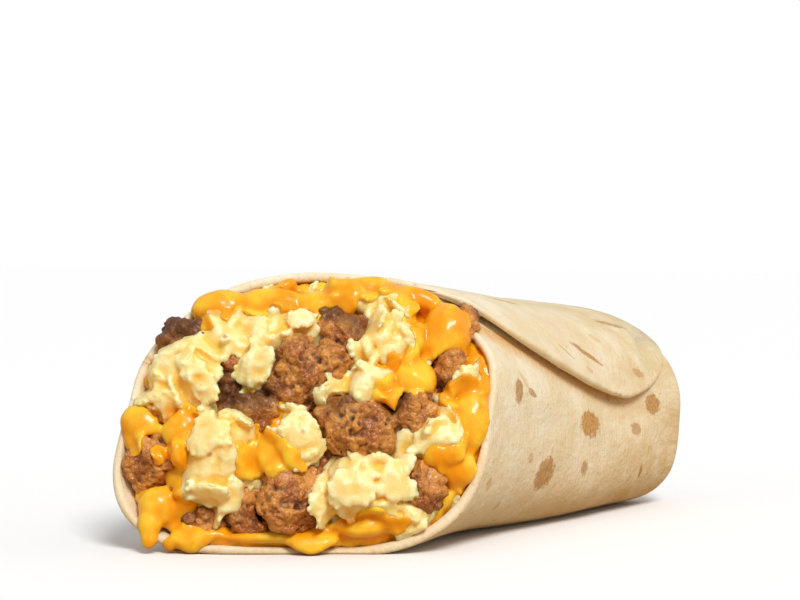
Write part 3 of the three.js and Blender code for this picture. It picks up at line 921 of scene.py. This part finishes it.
def tortilla_material(look):
    """Soft flour tortilla: cream with cloudy patches, fine pits, stretch streaks and toasted spots, with
    painted shade towards the tucked end, underneath and in its creases.
    """
    material, tree, shader = new_material("Flour tortilla")
    sheet = node(tree, "ShaderNodeUVMap", {"uv_map": "Sheet"}).outputs[0]
    patches, grain = mottle(tree, object_places(tree), 95.0, 900.0)
    pits = specks(tree, object_places(tree), 420.0, 0.07)
    streaks = noise(tree, stretched(tree, sheet, 60.0, 8.0, 1.0), 3.0, detail=4.0)
    base = blend_colours(tree, patches, look.flour_colour, look.shade_colour)
    base = blend_colours(tree, times(tree, streaks, 0.4), base, look.shade_colour)
    base = blend_colours(tree, times(tree, pits, 0.35), base, look.toast_colour)
    along, around, _ = node(tree, "ShaderNodeSeparateXYZ", i0=sheet).outputs
    # Painted shade: the dough is drawn darker and browner towards the tucked end and underneath, in blotches
    far = ramp(tree, along, 0.45, 1.35, 0.0, 0.7)
    low = ramp(tree, math_node(tree, "ABSOLUTE", around), 0.45, 0.85, 0.0, 0.4)
    blotches = ramp(tree, noise(tree, sheet, 13.0, detail=5.0, roughness=0.62), 0.36, 0.64, 0.45, 1.35)
    base = blend_colours(tree, times(tree, plus(tree, far, low), blotches), base, look.end_and_underside_shade_colour)
    # Painted shade in the creases under the flap's edge and along the end's folds
    base = blend_colours(tree, times(tree, attribute(tree, "crease"), 0.85), base, look.crease_shade_colour)
    ragged = times(tree, minus(tree, noise(tree, sheet, 70.0, detail=4.0, roughness=0.7), 0.5), 1.5)
    spots = toasted_spots(tree, sheet, ragged)
    base = blend_colours(tree, spots, base, toasted_crust(tree, sheet, spots, look))
    normal = bump(tree, grain, 0.25, 0.2)
    normal = bump(tree, noise(tree, sheet, 42.0, detail=5.0, roughness=0.6), 0.38, 1.1, Normal=normal)
    normal = bump(tree, streaks, 0.5, 0.7, Normal=normal)
    set_inputs(
        tree, shader, Base_Color=base, Normal=bump(tree, spots, 0.4, 0.3, Normal=normal),
        Roughness=ramp(tree, grain, 0.0, 1.0, 0.55, 0.72), Specular_IOR_Level=0.35,
        Subsurface_Weight=0.25, Subsurface_Radius=in_metres(4.0, 2.2, 1.1), Subsurface_Scale=0.6,
    )
    return material


def toasted_crust(tree, sheet, spots, look):
    """The spots' own colour: golden, with browner fibres that gather towards their edges."""
    ring = times(tree, spots, minus(tree, 1.25, spots))
    fibres = noise(tree, stretched(tree, sheet, 210.0, 80.0, 1.0), 1.0, detail=4.0, roughness=0.75)
    charred = ramp(tree, plus(tree, fibres, ring), 0.74, 0.93)
    charred = times(tree, charred, ramp(tree, spots, 0.35, 0.65, 0.0, 0.8))
    return blend_colours(tree, charred, look.toast_colour, look.char_colour)


def egg_material(look):
    """Moist scrambled egg: pale on its ridges, with painted shade of deeper yellow in its folds and
    yolk-yellow patches, stained by sauce in places.
    """
    material, tree, shader = new_material("Scrambled egg")
    places = object_places(tree)
    patches, grain = mottle(tree, places, 170.0, 1600.0)
    sauce = attribute(tree, "sauce")
    # Painted shade: deeper yellow in the folds, pale on the ridges
    ridges = ramp(tree, attribute(tree, "relief"), 0.28, 0.74)
    base = blend_colours(tree, ridges, look.yolk_and_fold_shade_colour, look.egg_colour)
    base = blend_colours(tree, times(tree, patches, 0.4), base, look.yolk_and_fold_shade_colour)
    base = blend_colours(tree, sauce, base, look.cheese_colour)
    crumbs = specks(tree, places, 330.0, 0.05)
    base = blend_colours(tree, times(tree, crumbs, 0.7), base, look.sausage_colour)
    set_inputs(
        tree, shader, Base_Color=base, Normal=bump(tree, grain, 0.2, 0.2),
        Roughness=ramp(tree, sauce, 0.0, 1.0, 0.42, 0.22), Specular_IOR_Level=0.35,
        Subsurface_Weight=0.6, Subsurface_Radius=in_metres(3.6, 1.9, 0.4), Subsurface_Scale=0.8,
        Coat_Weight=0.25, Coat_Roughness=0.2,
    )
    return material


def sausage_material(look):
    """Browned sausage: grains from golden to dark brown, greasy highlights, painted glints, painted shade in
    its crevices and pepper specks.
    """
    material, tree, shader = new_material("Browned sausage")
    places = object_places(tree)
    patches, grain = mottle(tree, places, 240.0, 1500.0)
    relief = attribute(tree, "relief")
    brown = blend_colours(tree, patches, look.sausage_colour, look.fat_colour)
    # Painted highlights: small bright glints in the colour
    painted_glints = ramp(tree, noise(tree, places, 2200.0, detail=3.0, roughness=0.7), 0.53, 0.66)
    brown = blend_colours(tree, times(tree, painted_glints, 0.6), brown, look.painted_glint_colour)
    # Painted shade: seared brown in the crevices
    brown = blend_colours(tree, ramp(tree, relief, 0.22, 0.55), look.seared_and_shade_colour, brown)
    brown = blend_colours(tree, times(tree, attribute(tree, "seared"), 0.85), brown, look.seared_and_shade_colour)
    brown = blend_colours(tree, specks(tree, places, 900.0, 0.07), brown, PEPPER_COLOUR)
    grit = bump(tree, noise(tree, places, 3600.0, detail=2.0), 0.6, 0.15)
    set_inputs(
        tree, shader, Base_Color=brown, Normal=bump(tree, grain, 0.6, 0.3, Normal=grit),
        Roughness=ramp(tree, relief, 0.2, 0.5, 0.8, 0.36), Specular_IOR_Level=0.35,
        Subsurface_Weight=0.12, Subsurface_Radius=in_metres(2.0, 0.8, 0.4), Subsurface_Scale=0.5,
        Coat_Weight=0.15, Coat_Roughness=0.12,
    )
    return material


def cheese_material(look):
    """Melted cheese sauce: smooth and glossy, with painted light of a paler colour on its ridges, in
    patches.
    """
    material, tree, shader = new_material("Cheese sauce")
    patches, grain = mottle(tree, object_places(tree), 130.0, 500.0)
    # Painted light: paler on the ridges, in random patches
    ridge_light = times(tree, patches, ramp(tree, attribute(tree, "relief"), 0.3, 0.7))
    set_inputs(
        tree, shader, Base_Color=blend_colours(tree, ridge_light, look.cheese_colour, look.ridge_light_cheese_colour),
        Normal=bump(tree, grain, 0.06, 0.3), Roughness=0.3, Specular_IOR_Level=0.2,
        Subsurface_Weight=0.35, Subsurface_Radius=in_metres(4.0, 1.6, 0.1), Subsurface_Scale=0.7,
        Coat_Weight=0.3, Coat_Roughness=0.12,
    )
    return material


def mash_material(look):
    """The mixture behind the pieces: sausage and sauce, with painted shade of seared brown in its hollows.
    """
    material, tree, shader = new_material("Filling mash")
    patches, grain = mottle(tree, object_places(tree), 210.0, 900.0)
    # Painted shade in the hollows
    hollow_shade = ramp(tree, attribute(tree, "relief"), 0.7, 0.4)
    base = blend_colours(tree, patches, look.sausage_colour, look.cheese_colour)
    set_inputs(
        tree, shader, Base_Color=blend_colours(tree, hollow_shade, base, look.seared_and_shade_colour),
        Normal=bump(tree, grain, 0.4, 0.3), Roughness=0.35, Coat_Weight=0.3,
        Subsurface_Weight=0.2, Subsurface_Radius=in_metres(3.0, 1.4, 0.4),
    )
    return material


# What fills the mouth

def on_mouth(right, up, out):
    """A place in the frame, from millimetres across, up and out of the mouth's middle."""
    place = MOUTH_MIDDLE + MOUTH_RIGHT * right + MOUTH_UP * up + MOUTH_NORMAL * out
    return place * MM + Vector(ROLL_SHIFT)


def clear_of_sheet(place, size, room):
    """The place moved towards the mouth's middle until a lump of that size clears the tortilla."""
    inward = on_mouth(0, 0, 0) - place
    inward -= MOUTH_NORMAL * inward.dot(MOUTH_NORMAL)
    return place + inward.normalized() * max(0.0, size - 0.85 * room)


def gap_places(draw):
    """Places deep between the pieces, on the core's face, found by looking into the mouth."""
    pieces = surface_tree(*EGG_NODES, *SAUSAGE_NODES, *CHEESE_NODES)
    core = surface_tree("filling")
    sheet = surface_tree("tortilla")
    found = []
    for _ in range(GAP_TRIES):
        right = draw.uniform(-GAP_HALF_WIDTH, GAP_HALF_WIDTH)
        up = draw.uniform(-GAP_HALF_HEIGHT, GAP_HALF_HEIGHT)
        start = on_mouth(right, up, GAP_VIEW_DISTANCE)
        below = core.ray_cast(start, -MOUTH_NORMAL)[0]
        if below is None:
            continue
        room = sheet.find_nearest(below + MOUTH_NORMAL * MM)[3]
        cover = pieces.ray_cast(start, -MOUTH_NORMAL)[0]
        if cover is not None and (cover - start).length < (below - start).length:
            continue
        apart = all((below - other[0]).length > GAP_SPACING * MM for other in found)
        if room > GAP_ROOM * MM and apart:
            found.append((below, room))
    return found


def share_gaps():
    """The gaps' places, and their room to the tortilla, shared out: the narrow ones go to the sauce."""
    draw = random.Random(11)
    shared = {"egg": [], "sausage": [], "cheese": []}
    for place, room in gap_places(draw):
        weights = (5, 3, 1.5) if room > GAP_WIDE_ROOM * MM else (2, 0, 5)
        shared[draw.choices(("egg", "sausage", "cheese"), weights)[0]].append((place, room))
    return shared


GAPS = share_gaps()


def lumpy_egg(look):
    """Every egg curd as folded sheets with ragged edges, and small curds in the gaps."""
    draw = random.Random(3)
    ball = ball_mesh(3)
    bm = inset_copy(EGG_INSET, EGG_NODES)
    for name in EGG_NODES:
        for place, normal in surface_draws(name, EGG_SHEET_SPACING * MM, draw):
            size = draw.uniform(*EGG_SHEET_SIZES) * MM
            long, short = size * draw.uniform(0.9, 1.3), size * draw.uniform(0.6, 0.9)
            radii = (long, short, draw.uniform(*EGG_SHEET_HALF_THICKNESS) * MM)
            way = (normal + random_way(draw) * draw.uniform(0.0, 0.45)).normalized()
            add_lump(bm, ball, place - normal * 0.5 * MM, radii, facing(way, draw))
        for place, normal in surface_draws(name, EGG_SHRED_SPACING * MM, draw):
            size = draw.uniform(*EGG_SHRED_SIZES) * MM
            add_lump(bm, ball, place, (size * 1.3, size, size * 0.8), facing(random_way(draw), draw))
    for place, room in GAPS["egg"]:
        size = draw.uniform(*EGG_CURD_SIZES) * MM
        place = clear_of_sheet(place, size, room)
        out = MOUTH_NORMAL * draw.uniform(*EGG_CURD_OUT) * MM
        way = facing(random_way(draw), draw)
        add_lump(bm, ball, place + out, (size * draw.uniform(1, 1.6), size, size * 0.6), way)
    mesh = grown_together(bm, look.egg_grain)
    soften(mesh, 4)
    edges = smoothstep(standing_out(mesh, 14, 0.7 * MM), 0.58, 0.85)
    places = mesh_places(mesh)
    folds = np.abs(soft_noise(places, 6.5 * MM, 7))
    crumbs = grain_noise(places, 1.3 * MM, 9) - 0.72
    ripples = np.abs(soft_noise(places, 2.6 * MM, 8))
    push_out(mesh, (0.45 - 0.9 * folds - 0.45 * ripples + (0.08 + 1.9 * edges) * crumbs) * MM)
    store_value(mesh, "relief", standing_out(mesh, 16, 0.8 * MM))
    store_value(mesh, "sauce", sauce_share(mesh))
    return mesh


def sauce_share(mesh):
    """How much sauce stains each point: most close to the cheese, and in random patches."""
    cheese = surface_tree(*CHEESE_NODES)
    places = mesh_places(mesh)
    near = np.array([cheese.find_nearest(Vector(place))[3] for place in places])
    patches = layered_noise(places, (1, 4, 21), (0.5, 1.7, 22))
    return smoothstep(patches - near / (2.4 * MM) + 0.7, 0.0, 0.8) * 0.8


def grainy_sausage(look):
    """Every sausage crumble as a clump of ground meat, and crumbs in the gaps."""
    draw = random.Random(4)
    ball = ball_mesh(2)
    bm = inset_copy(SAUSAGE_INSET, SAUSAGE_NODES)
    for name in SAUSAGE_NODES:
        for place, normal in surface_draws(name, SAUSAGE_GRAIN_SPACING * MM, draw):
            size = draw.uniform(*SAUSAGE_GRAIN_SIZES) * MM
            radii = (size * draw.uniform(0.9, 1.5), size, size * draw.uniform(0.5, 0.9))
            add_lump(bm, ball, place - normal * 0.55 * size, radii, facing(random_way(draw), draw))
    out = MOUTH_NORMAL * SAUSAGE_CRUMB_OUT * MM
    for place, _ in GAPS["sausage"]:
        for _ in range(SAUSAGE_CRUMBS):
            size = draw.uniform(*SAUSAGE_CRUMB_SIZES) * MM
            spread = random_way(draw) * draw.uniform(0, SAUSAGE_CRUMB_SPREAD) * MM
            radii = (size, size, size * 0.8)
            add_lump(bm, ball, place + spread + out, radii, facing(random_way(draw), draw))
    mesh = grown_together(bm, look.sausage_grain)
    soften(mesh, 1)
    places = mesh_places(mesh)
    grains = grain_noise(places, 1.0 * MM, 13)
    fine = soft_noise(places, 0.65 * MM, 15)
    lumps = soft_noise(places, 3.5 * MM, 14)
    push_out(mesh, (0.2 * (grains - 0.75) + 0.22 * fine + 0.4 * lumps) * MM)
    relief = 0.25 * standing_out(mesh, 8, 0.4 * MM) + 0.75 * standing_out(mesh, 30, 1.0 * MM)
    store_value(mesh, "relief", relief)
    store_value(mesh, "seared", smoothstep(soft_noise(mesh_places(mesh), 8 * MM, 17), 0.05, 0.7))
    return mesh


def film_places(mesh, draw, reach):
    """Places on a mesh where sauce lies over it: patches that face out of the mouth, near the cheese."""
    cheese = surface_tree(*CHEESE_NODES)
    centres = read_rows(mesh.polygons, "center", 3)
    normals = read_rows(mesh.polygons, "normal", 3)
    face_side = math.sqrt(mesh.polygons[len(mesh.polygons) // 2].area)
    chance = (face_side / (SAUCE_FILM_SPACING * MM)) ** 2
    keep = np.array([draw.random() < chance for _ in centres])
    facing_out = normals @ np.array(MOUTH_NORMAL) > 0.0
    patches = layered_noise(centres, (1, 6.5, 61), (0.4, 2.5, 62))
    found = []
    for index in np.flatnonzero(keep & facing_out & (patches > -reach)):
        place = Vector(centres[index])
        near = cheese.find_nearest(place)[3]
        if patches[index] > near / (4.5 * MM) - reach:
            found.append((place, Vector(normals[index])))
    return found


def raise_over_lip(mesh):
    """Lifts the sauce's lower edge above the tortilla's lip, but for the two drips that run over it."""
    places = mesh_places(mesh)
    right = (places - np.array(on_mouth(0, 0, 0))) @ np.array(MOUTH_RIGHT) / MM
    drips = [np.exp(-((right - drip) / SAUCE_LIP_DRIP_WIDTH) ** 2) for drip in SAUCE_LIP_DRIPS]
    x, angle, _ = on_roll(places)
    in_front = smoothstep(right, -27, -25) * smoothstep(rim_x(angle) - x, -1.5, 0.5)
    lifted = (1 - np.max(drips, axis=0)) * in_front
    places[:, 2] += 2.2 * MM * lifted * np.clip(1 - places[:, 2] / (5.5 * MM), 0, 1)
    set_places(mesh, places)


def smooth_cheese(look):
    """The runs of cheese sauce, the sauce laid over egg and sausage, and sauce between the pieces."""
    draw = random.Random(5)
    ball = ball_mesh(3)
    bm = node_copy(*CHEESE_NODES)
    for place, room in GAPS["cheese"]:
        size = draw.uniform(*SAUCE_DROP_SIZES) * MM
        place = clear_of_sheet(place, size, room)
        out = MOUTH_NORMAL * draw.uniform(*SAUCE_DROP_OUT) * MM
        radii = (size * draw.uniform(1, 1.6), size, size * 0.8)
        add_lump(bm, ball, place + out, radii, facing(random_way(draw), draw))
    for degrees in SAUCE_BEAD_ANGLES:
        angle = np.array([math.radians(degrees + draw.uniform(-1, 1))])
        size = draw.uniform(*SAUCE_BEAD_SIZES)
        x = rim_x(angle) + draw.uniform(*SAUCE_BEAD_BEHIND_LIP)
        spot = roll_point(x, angle, 2.0 + dips(x, angle)[1] + 0.9 * size, 1.0)
        radii = (1.4 * size * MM, 1.2 * size * MM, size * MM)
        add_lump(bm, ball, Vector(to_frame(spot)[0]), radii, facing(random_way(draw), draw))
    for name, reach in SAUCE_FILM_REACH:
        for place, normal in film_places(bpy.data.objects[name].data, draw, reach):
            size = draw.uniform(*SAUCE_FILM_SIZES) * MM
            add_lump(bm, ball, place, (size, size, SAUCE_FILM_HALF_THICKNESS * MM), facing(normal, draw))
    mesh = grown_together(bm, look.cheese_grain)
    soften(mesh, 9)
    raise_over_lip(mesh)
    push_out(mesh, (layered_noise(mesh_places(mesh), (0.35, 5, 31), (0.1, 2, 32)) + 0.2) * MM)
    store_value(mesh, "relief", standing_out(mesh, 12, 0.5 * MM))
    return mesh


def lumpy_core(look):
    """The mixture that runs through the roll, lumpy where it shows between the pieces."""
    mesh = grown_together(node_copy("filling"), look.core_grain)
    places = mesh_places(mesh)
    depth = (places - np.array(on_mouth(0, 0, 0))) @ np.array(MOUTH_NORMAL)
    shows = smoothstep(depth, -9 * MM, -5 * MM)
    push_out(mesh, shows * layered_noise(places, (1.1, 3.5, 41), (0.5, 1.7, 42)) * MM)
    store_value(mesh, "relief", standing_out(mesh, 6, 0.5 * MM))
    return mesh


# Settings that a user would change

def tint(name, description, *default):
    return FloatVectorProperty(name=name, description=description, subtype="COLOR", default=default)


def span(name, description, millimetres):
    return FloatProperty(name=name, description=description, unit="LENGTH", default=millimetres * MM)


def power(name, description, default):
    return FloatProperty(name=name, description=description, subtype="FACTOR", default=default)


class BurritoTortillaLook(bpy.types.PropertyGroup):
    sheet_thickness: span("Sheet", "Thickness of the tortilla", 1.8)
    flour_colour: tint("Flour", "Colour of the pale dough", 0.86, 0.77, 0.58)
    shade_colour: tint("Dough", "Colour of the thinner, moist dough", 0.78, 0.64, 0.41)
    # Painted shade towards the tucked end and underneath
    end_and_underside_shade_colour: tint("End and underside shade", "Colour of the dough near the end and underneath", 0.68, 0.49, 0.25)
    toast_colour: tint("Toast", "Colour of toasted spots", 0.58, 0.29, 0.065)
    # Painted shade in the crease under the flap's edge and along the end's folds
    crease_shade_colour: tint("Crease shade", "Colour of the moist dough under the flap's edge", 0.72, 0.42, 0.15)
    char_colour: tint("Char", "Colour of the darkest toasting", 0.30, 0.125, 0.028)


class BurritoFillingLook(bpy.types.PropertyGroup):
    egg_colour: tint("Egg", "Colour of the egg's pale tops", 0.97, 0.87, 0.50)
    # Painted shade in the egg's folds, and the colour of its random yolk patches
    yolk_and_fold_shade_colour: tint("Yolk and fold shade", "Colour deep in the egg's folds", 0.90, 0.56, 0.08)
    sausage_colour: tint("Sausage", "Colour of browned meat", 0.36, 0.100, 0.015)
    fat_colour: tint("Fat", "Colour of the golden grains", 0.66, 0.28, 0.050)
    # Painted highlights on the sausage's grains
    painted_glint_colour: tint("Painted glints", "Colour of the glistening flecks", 0.90, 0.52, 0.24)
    # Seared meat's colour, also painted as shade in the sausage's crevices and the mash's hollows
    seared_and_shade_colour: tint("Seared and shade", "Colour of seared meat and juices", 0.075, 0.022, 0.006)
    # The sauce's own colour, and the paler colour painted as light on its ridges
    cheese_colour: tint("Cheese", "Colour of thick cheese sauce", 0.87, 0.32, 0.002)
    ridge_light_cheese_colour: tint("Cheese ridge light", "Colour of thin cheese sauce", 0.93, 0.57, 0.035)
    egg_grain: span("Egg grain", "Size of the egg's mesh faces", 0.38)
    sausage_grain: span("Sausage grain", "Size of the sausage's mesh faces", 0.31)
    cheese_grain: span("Cheese grain", "Size of the sauce's mesh faces", 0.4)
    core_grain: span("Core grain", "Size of the core's mesh faces", 0.9)


class BurritoStageLook(bpy.types.PropertyGroup):
    key_strength: power("Key", "Strength of the soft light up to the left", 2.6)
    fill_strength: power("Fill", "Strength of the soft light on the right", 0.2)
    sky_strength: power("Sky", "Strength of the even light from all round", 0.48)
    backdrop: power("Backdrop", "Brightness of the plain backdrop", 1.0)
    bounce_colour: tint("Bounce", "Colour of the light the floor throws back", 0.52, 0.37, 0.21)
    floor_colour: tint("Floor", "Colour of the floor", 0.98, 0.98, 0.98)


# One operator for each piece or group of like pieces

class BURRITO_OT_tortilla(bpy.types.Operator):
    """Rolls the tortilla: the sheet with its rounded lip and tucked end, and the free flap on top"""

    bl_idname = "burrito.tortilla"
    bl_label = "Tortilla"

    def execute(self, context):
        look = context.scene.burrito_tortilla
        mesh = united(closed_mesh(cup_mesh(look.sheet_thickness / MM)), closed_mesh(flap_mesh()))
        # The mask of the painted crease shade
        store_value(mesh, "crease", creases(mesh))
        places = mesh_places(mesh)
        lumps = layered_noise(places, (0.22, 14, 51), (0.14, 6, 52))
        push_out(mesh, lumps * smoothstep(places[:, 2], 0.0, 4 * MM) * MM)
        add_piece("tortilla_sheet", mesh, tortilla_material(look), "tortilla", "tortilla")
        return {"FINISHED"}


class BURRITO_OT_filling(bpy.types.Operator):
    """Makes the mixture that runs through the roll"""

    bl_idname = "burrito.filling"
    bl_label = "Filling"

    def execute(self, context):
        look = context.scene.burrito_filling
        add_piece("filling_mash", lumpy_core(look), mash_material(look), "filling", "filling")
        return {"FINISHED"}


class BURRITO_OT_egg(bpy.types.Operator):
    """Makes the curds of scrambled egg"""

    bl_idname = "burrito.egg"
    bl_label = "Egg"

    def execute(self, context):
        look = context.scene.burrito_filling
        add_piece("egg_curds", lumpy_egg(look), egg_material(look), "egg", *EGG_NODES)
        return {"FINISHED"}


class BURRITO_OT_sausage(bpy.types.Operator):
    """Makes the sausage crumbles"""

    bl_idname = "burrito.sausage"
    bl_label = "Sausage"

    def execute(self, context):
        look = context.scene.burrito_filling
        mesh = grainy_sausage(look)
        add_piece("sausage_crumbles", mesh, sausage_material(look), "sausage", *SAUSAGE_NODES)
        return {"FINISHED"}


class BURRITO_OT_cheese(bpy.types.Operator):
    """Makes the runs and drips of cheese sauce"""

    bl_idname = "burrito.cheese"
    bl_label = "Cheese"

    def execute(self, context):
        look = context.scene.burrito_filling
        add_piece("cheese_sauce", smooth_cheese(look), cheese_material(look), "cheese", *CHEESE_NODES)
        return {"FINISHED"}


# The camera that took the picture, in millimetres and degrees: it looks past the roll's middle,
# from a little above it, turned from the roll's length
CAMERA_AIM = (64.8, 0.0, 26.4)
CAMERA_DISTANCE = 486
CAMERA_TURN = 29.04
CAMERA_HEIGHT = 4.4
CAMERA_PAN = 0.06
CAMERA_TILT = 2.7
CAMERA_LENS = 100.5

# Where the lights stand in metres, and how many degrees wide they look from the burrito
KEY_PLACE = (-0.50, -0.55, 0.67)
KEY_SOFTNESS = 20
FILL_PLACE = (0.55, -0.6, 0.35)
FILL_SOFTNESS = 50


def direction(turn, rise):
    """A direction from its turn round the upright axis and its rise, in degrees."""
    turn, rise = math.radians(turn), math.radians(rise)
    return Vector((math.cos(turn) * math.cos(rise), math.sin(turn) * math.cos(rise), math.sin(rise)))


class BURRITO_OT_stage(bpy.types.Operator):
    """Sets the floor, the backdrop, the lights and the camera"""

    bl_idname = "burrito.stage"
    bl_label = "Stage"

    def execute(self, context):
        look = context.scene.burrito_stage
        self.set_floor(look)
        self.set_lights(look)
        self.set_camera(context)
        return {"FINISHED"}

    def set_floor(self, look):
        bm = bmesh.new()
        bmesh.ops.create_grid(bm, x_segments=1, y_segments=1, size=3.0)
        floor = new_object("floor", as_mesh(bm, "floor"))
        material, tree, shader = new_material("Pale floor")
        seen = node(tree, "ShaderNodeLightPath").outputs["Is Camera Ray"]
        colour = blend_colours(tree, seen, look.bounce_colour, look.floor_colour)
        set_inputs(tree, shader, Base_Color=colour, Roughness=0.8)
        floor.data.materials.append(material)

    def set_lights(self, look):
        self.add_light("key", look.key_strength, KEY_SOFTNESS, KEY_PLACE)
        self.add_light("fill", look.fill_strength, FILL_SOFTNESS, FILL_PLACE)
        world = bpy.data.worlds.new("Even light")
        bpy.context.scene.world = world
        world.use_nodes = True
        tree = world.node_tree
        seen = node(tree, "ShaderNodeLightPath").outputs["Is Camera Ray"]
        strength = node(tree, "ShaderNodeMapRange", None, i0=seen, i3=look.sky_strength, i4=look.backdrop)
        white = (1.0, 1.0, 1.0, 1.0)
        set_inputs(tree, tree.nodes["Background"], Color=white, Strength=strength.outputs[0])

    def add_light(self, name, strength, softness, place):
        lamp = bpy.data.lights.new(name, "SUN")
        lamp.energy = strength
        lamp.angle = math.radians(softness)
        light = new_object(name, lamp)
        light.location = place
        light.rotation_euler = (-Vector(place)).to_track_quat("-Z", "Y").to_euler()

    def set_camera(self, context):
        lens = bpy.data.cameras.new("camera")
        lens.lens = CAMERA_LENS
        lens.clip_start = 0.01
        camera = new_object("camera", lens)
        aim = Vector(CAMERA_AIM) * MM + Vector(ROLL_SHIFT)
        camera.location = aim - direction(CAMERA_TURN, -CAMERA_HEIGHT) * CAMERA_DISTANCE * MM
        way = direction(CAMERA_TURN + CAMERA_PAN, CAMERA_TILT - CAMERA_HEIGHT)
        camera.rotation_euler = way.to_track_quat("-Z", "Y").to_euler()
        context.scene.camera = camera
        context.scene.view_settings.view_transform = "Standard"


class BURRITO_PT_panel(bpy.types.Panel):
    """Lists the burrito's pieces in the sidebar"""

    bl_label = "Burrito"
    bl_space_type = "VIEW_3D"
    bl_region_type = "UI"
    bl_category = "Burrito"

    def draw(self, context):
        for step in STEPS:
            self.layout.operator(step.bl_idname)


LOOKS = (
    ("burrito_tortilla", BurritoTortillaLook),
    ("burrito_filling", BurritoFillingLook),
    ("burrito_stage", BurritoStageLook),
)
STEPS = (
    BURRITO_OT_stage, BURRITO_OT_tortilla, BURRITO_OT_filling, BURRITO_OT_egg, BURRITO_OT_sausage,
    BURRITO_OT_cheese,
)


def register():
    for name, look in LOOKS:
        bpy.utils.register_class(look)
        setattr(bpy.types.Scene, name, PointerProperty(type=look))
    for step in STEPS:
        bpy.utils.register_class(step)
    bpy.utils.register_class(BURRITO_PT_panel)


def unregister():
    bpy.utils.unregister_class(BURRITO_PT_panel)
    for step in reversed(STEPS):
        bpy.utils.unregister_class(step)
    for name, look in reversed(LOOKS):
        delattr(bpy.types.Scene, name)
        bpy.utils.unregister_class(look)


def main():
    register()
    bpy.ops.burrito.stage()
    bpy.ops.burrito.tortilla()
    bpy.ops.burrito.filling()
    bpy.ops.burrito.egg()
    bpy.ops.burrito.sausage()
    bpy.ops.burrito.cheese()


if __name__ == "__main__":
    main()
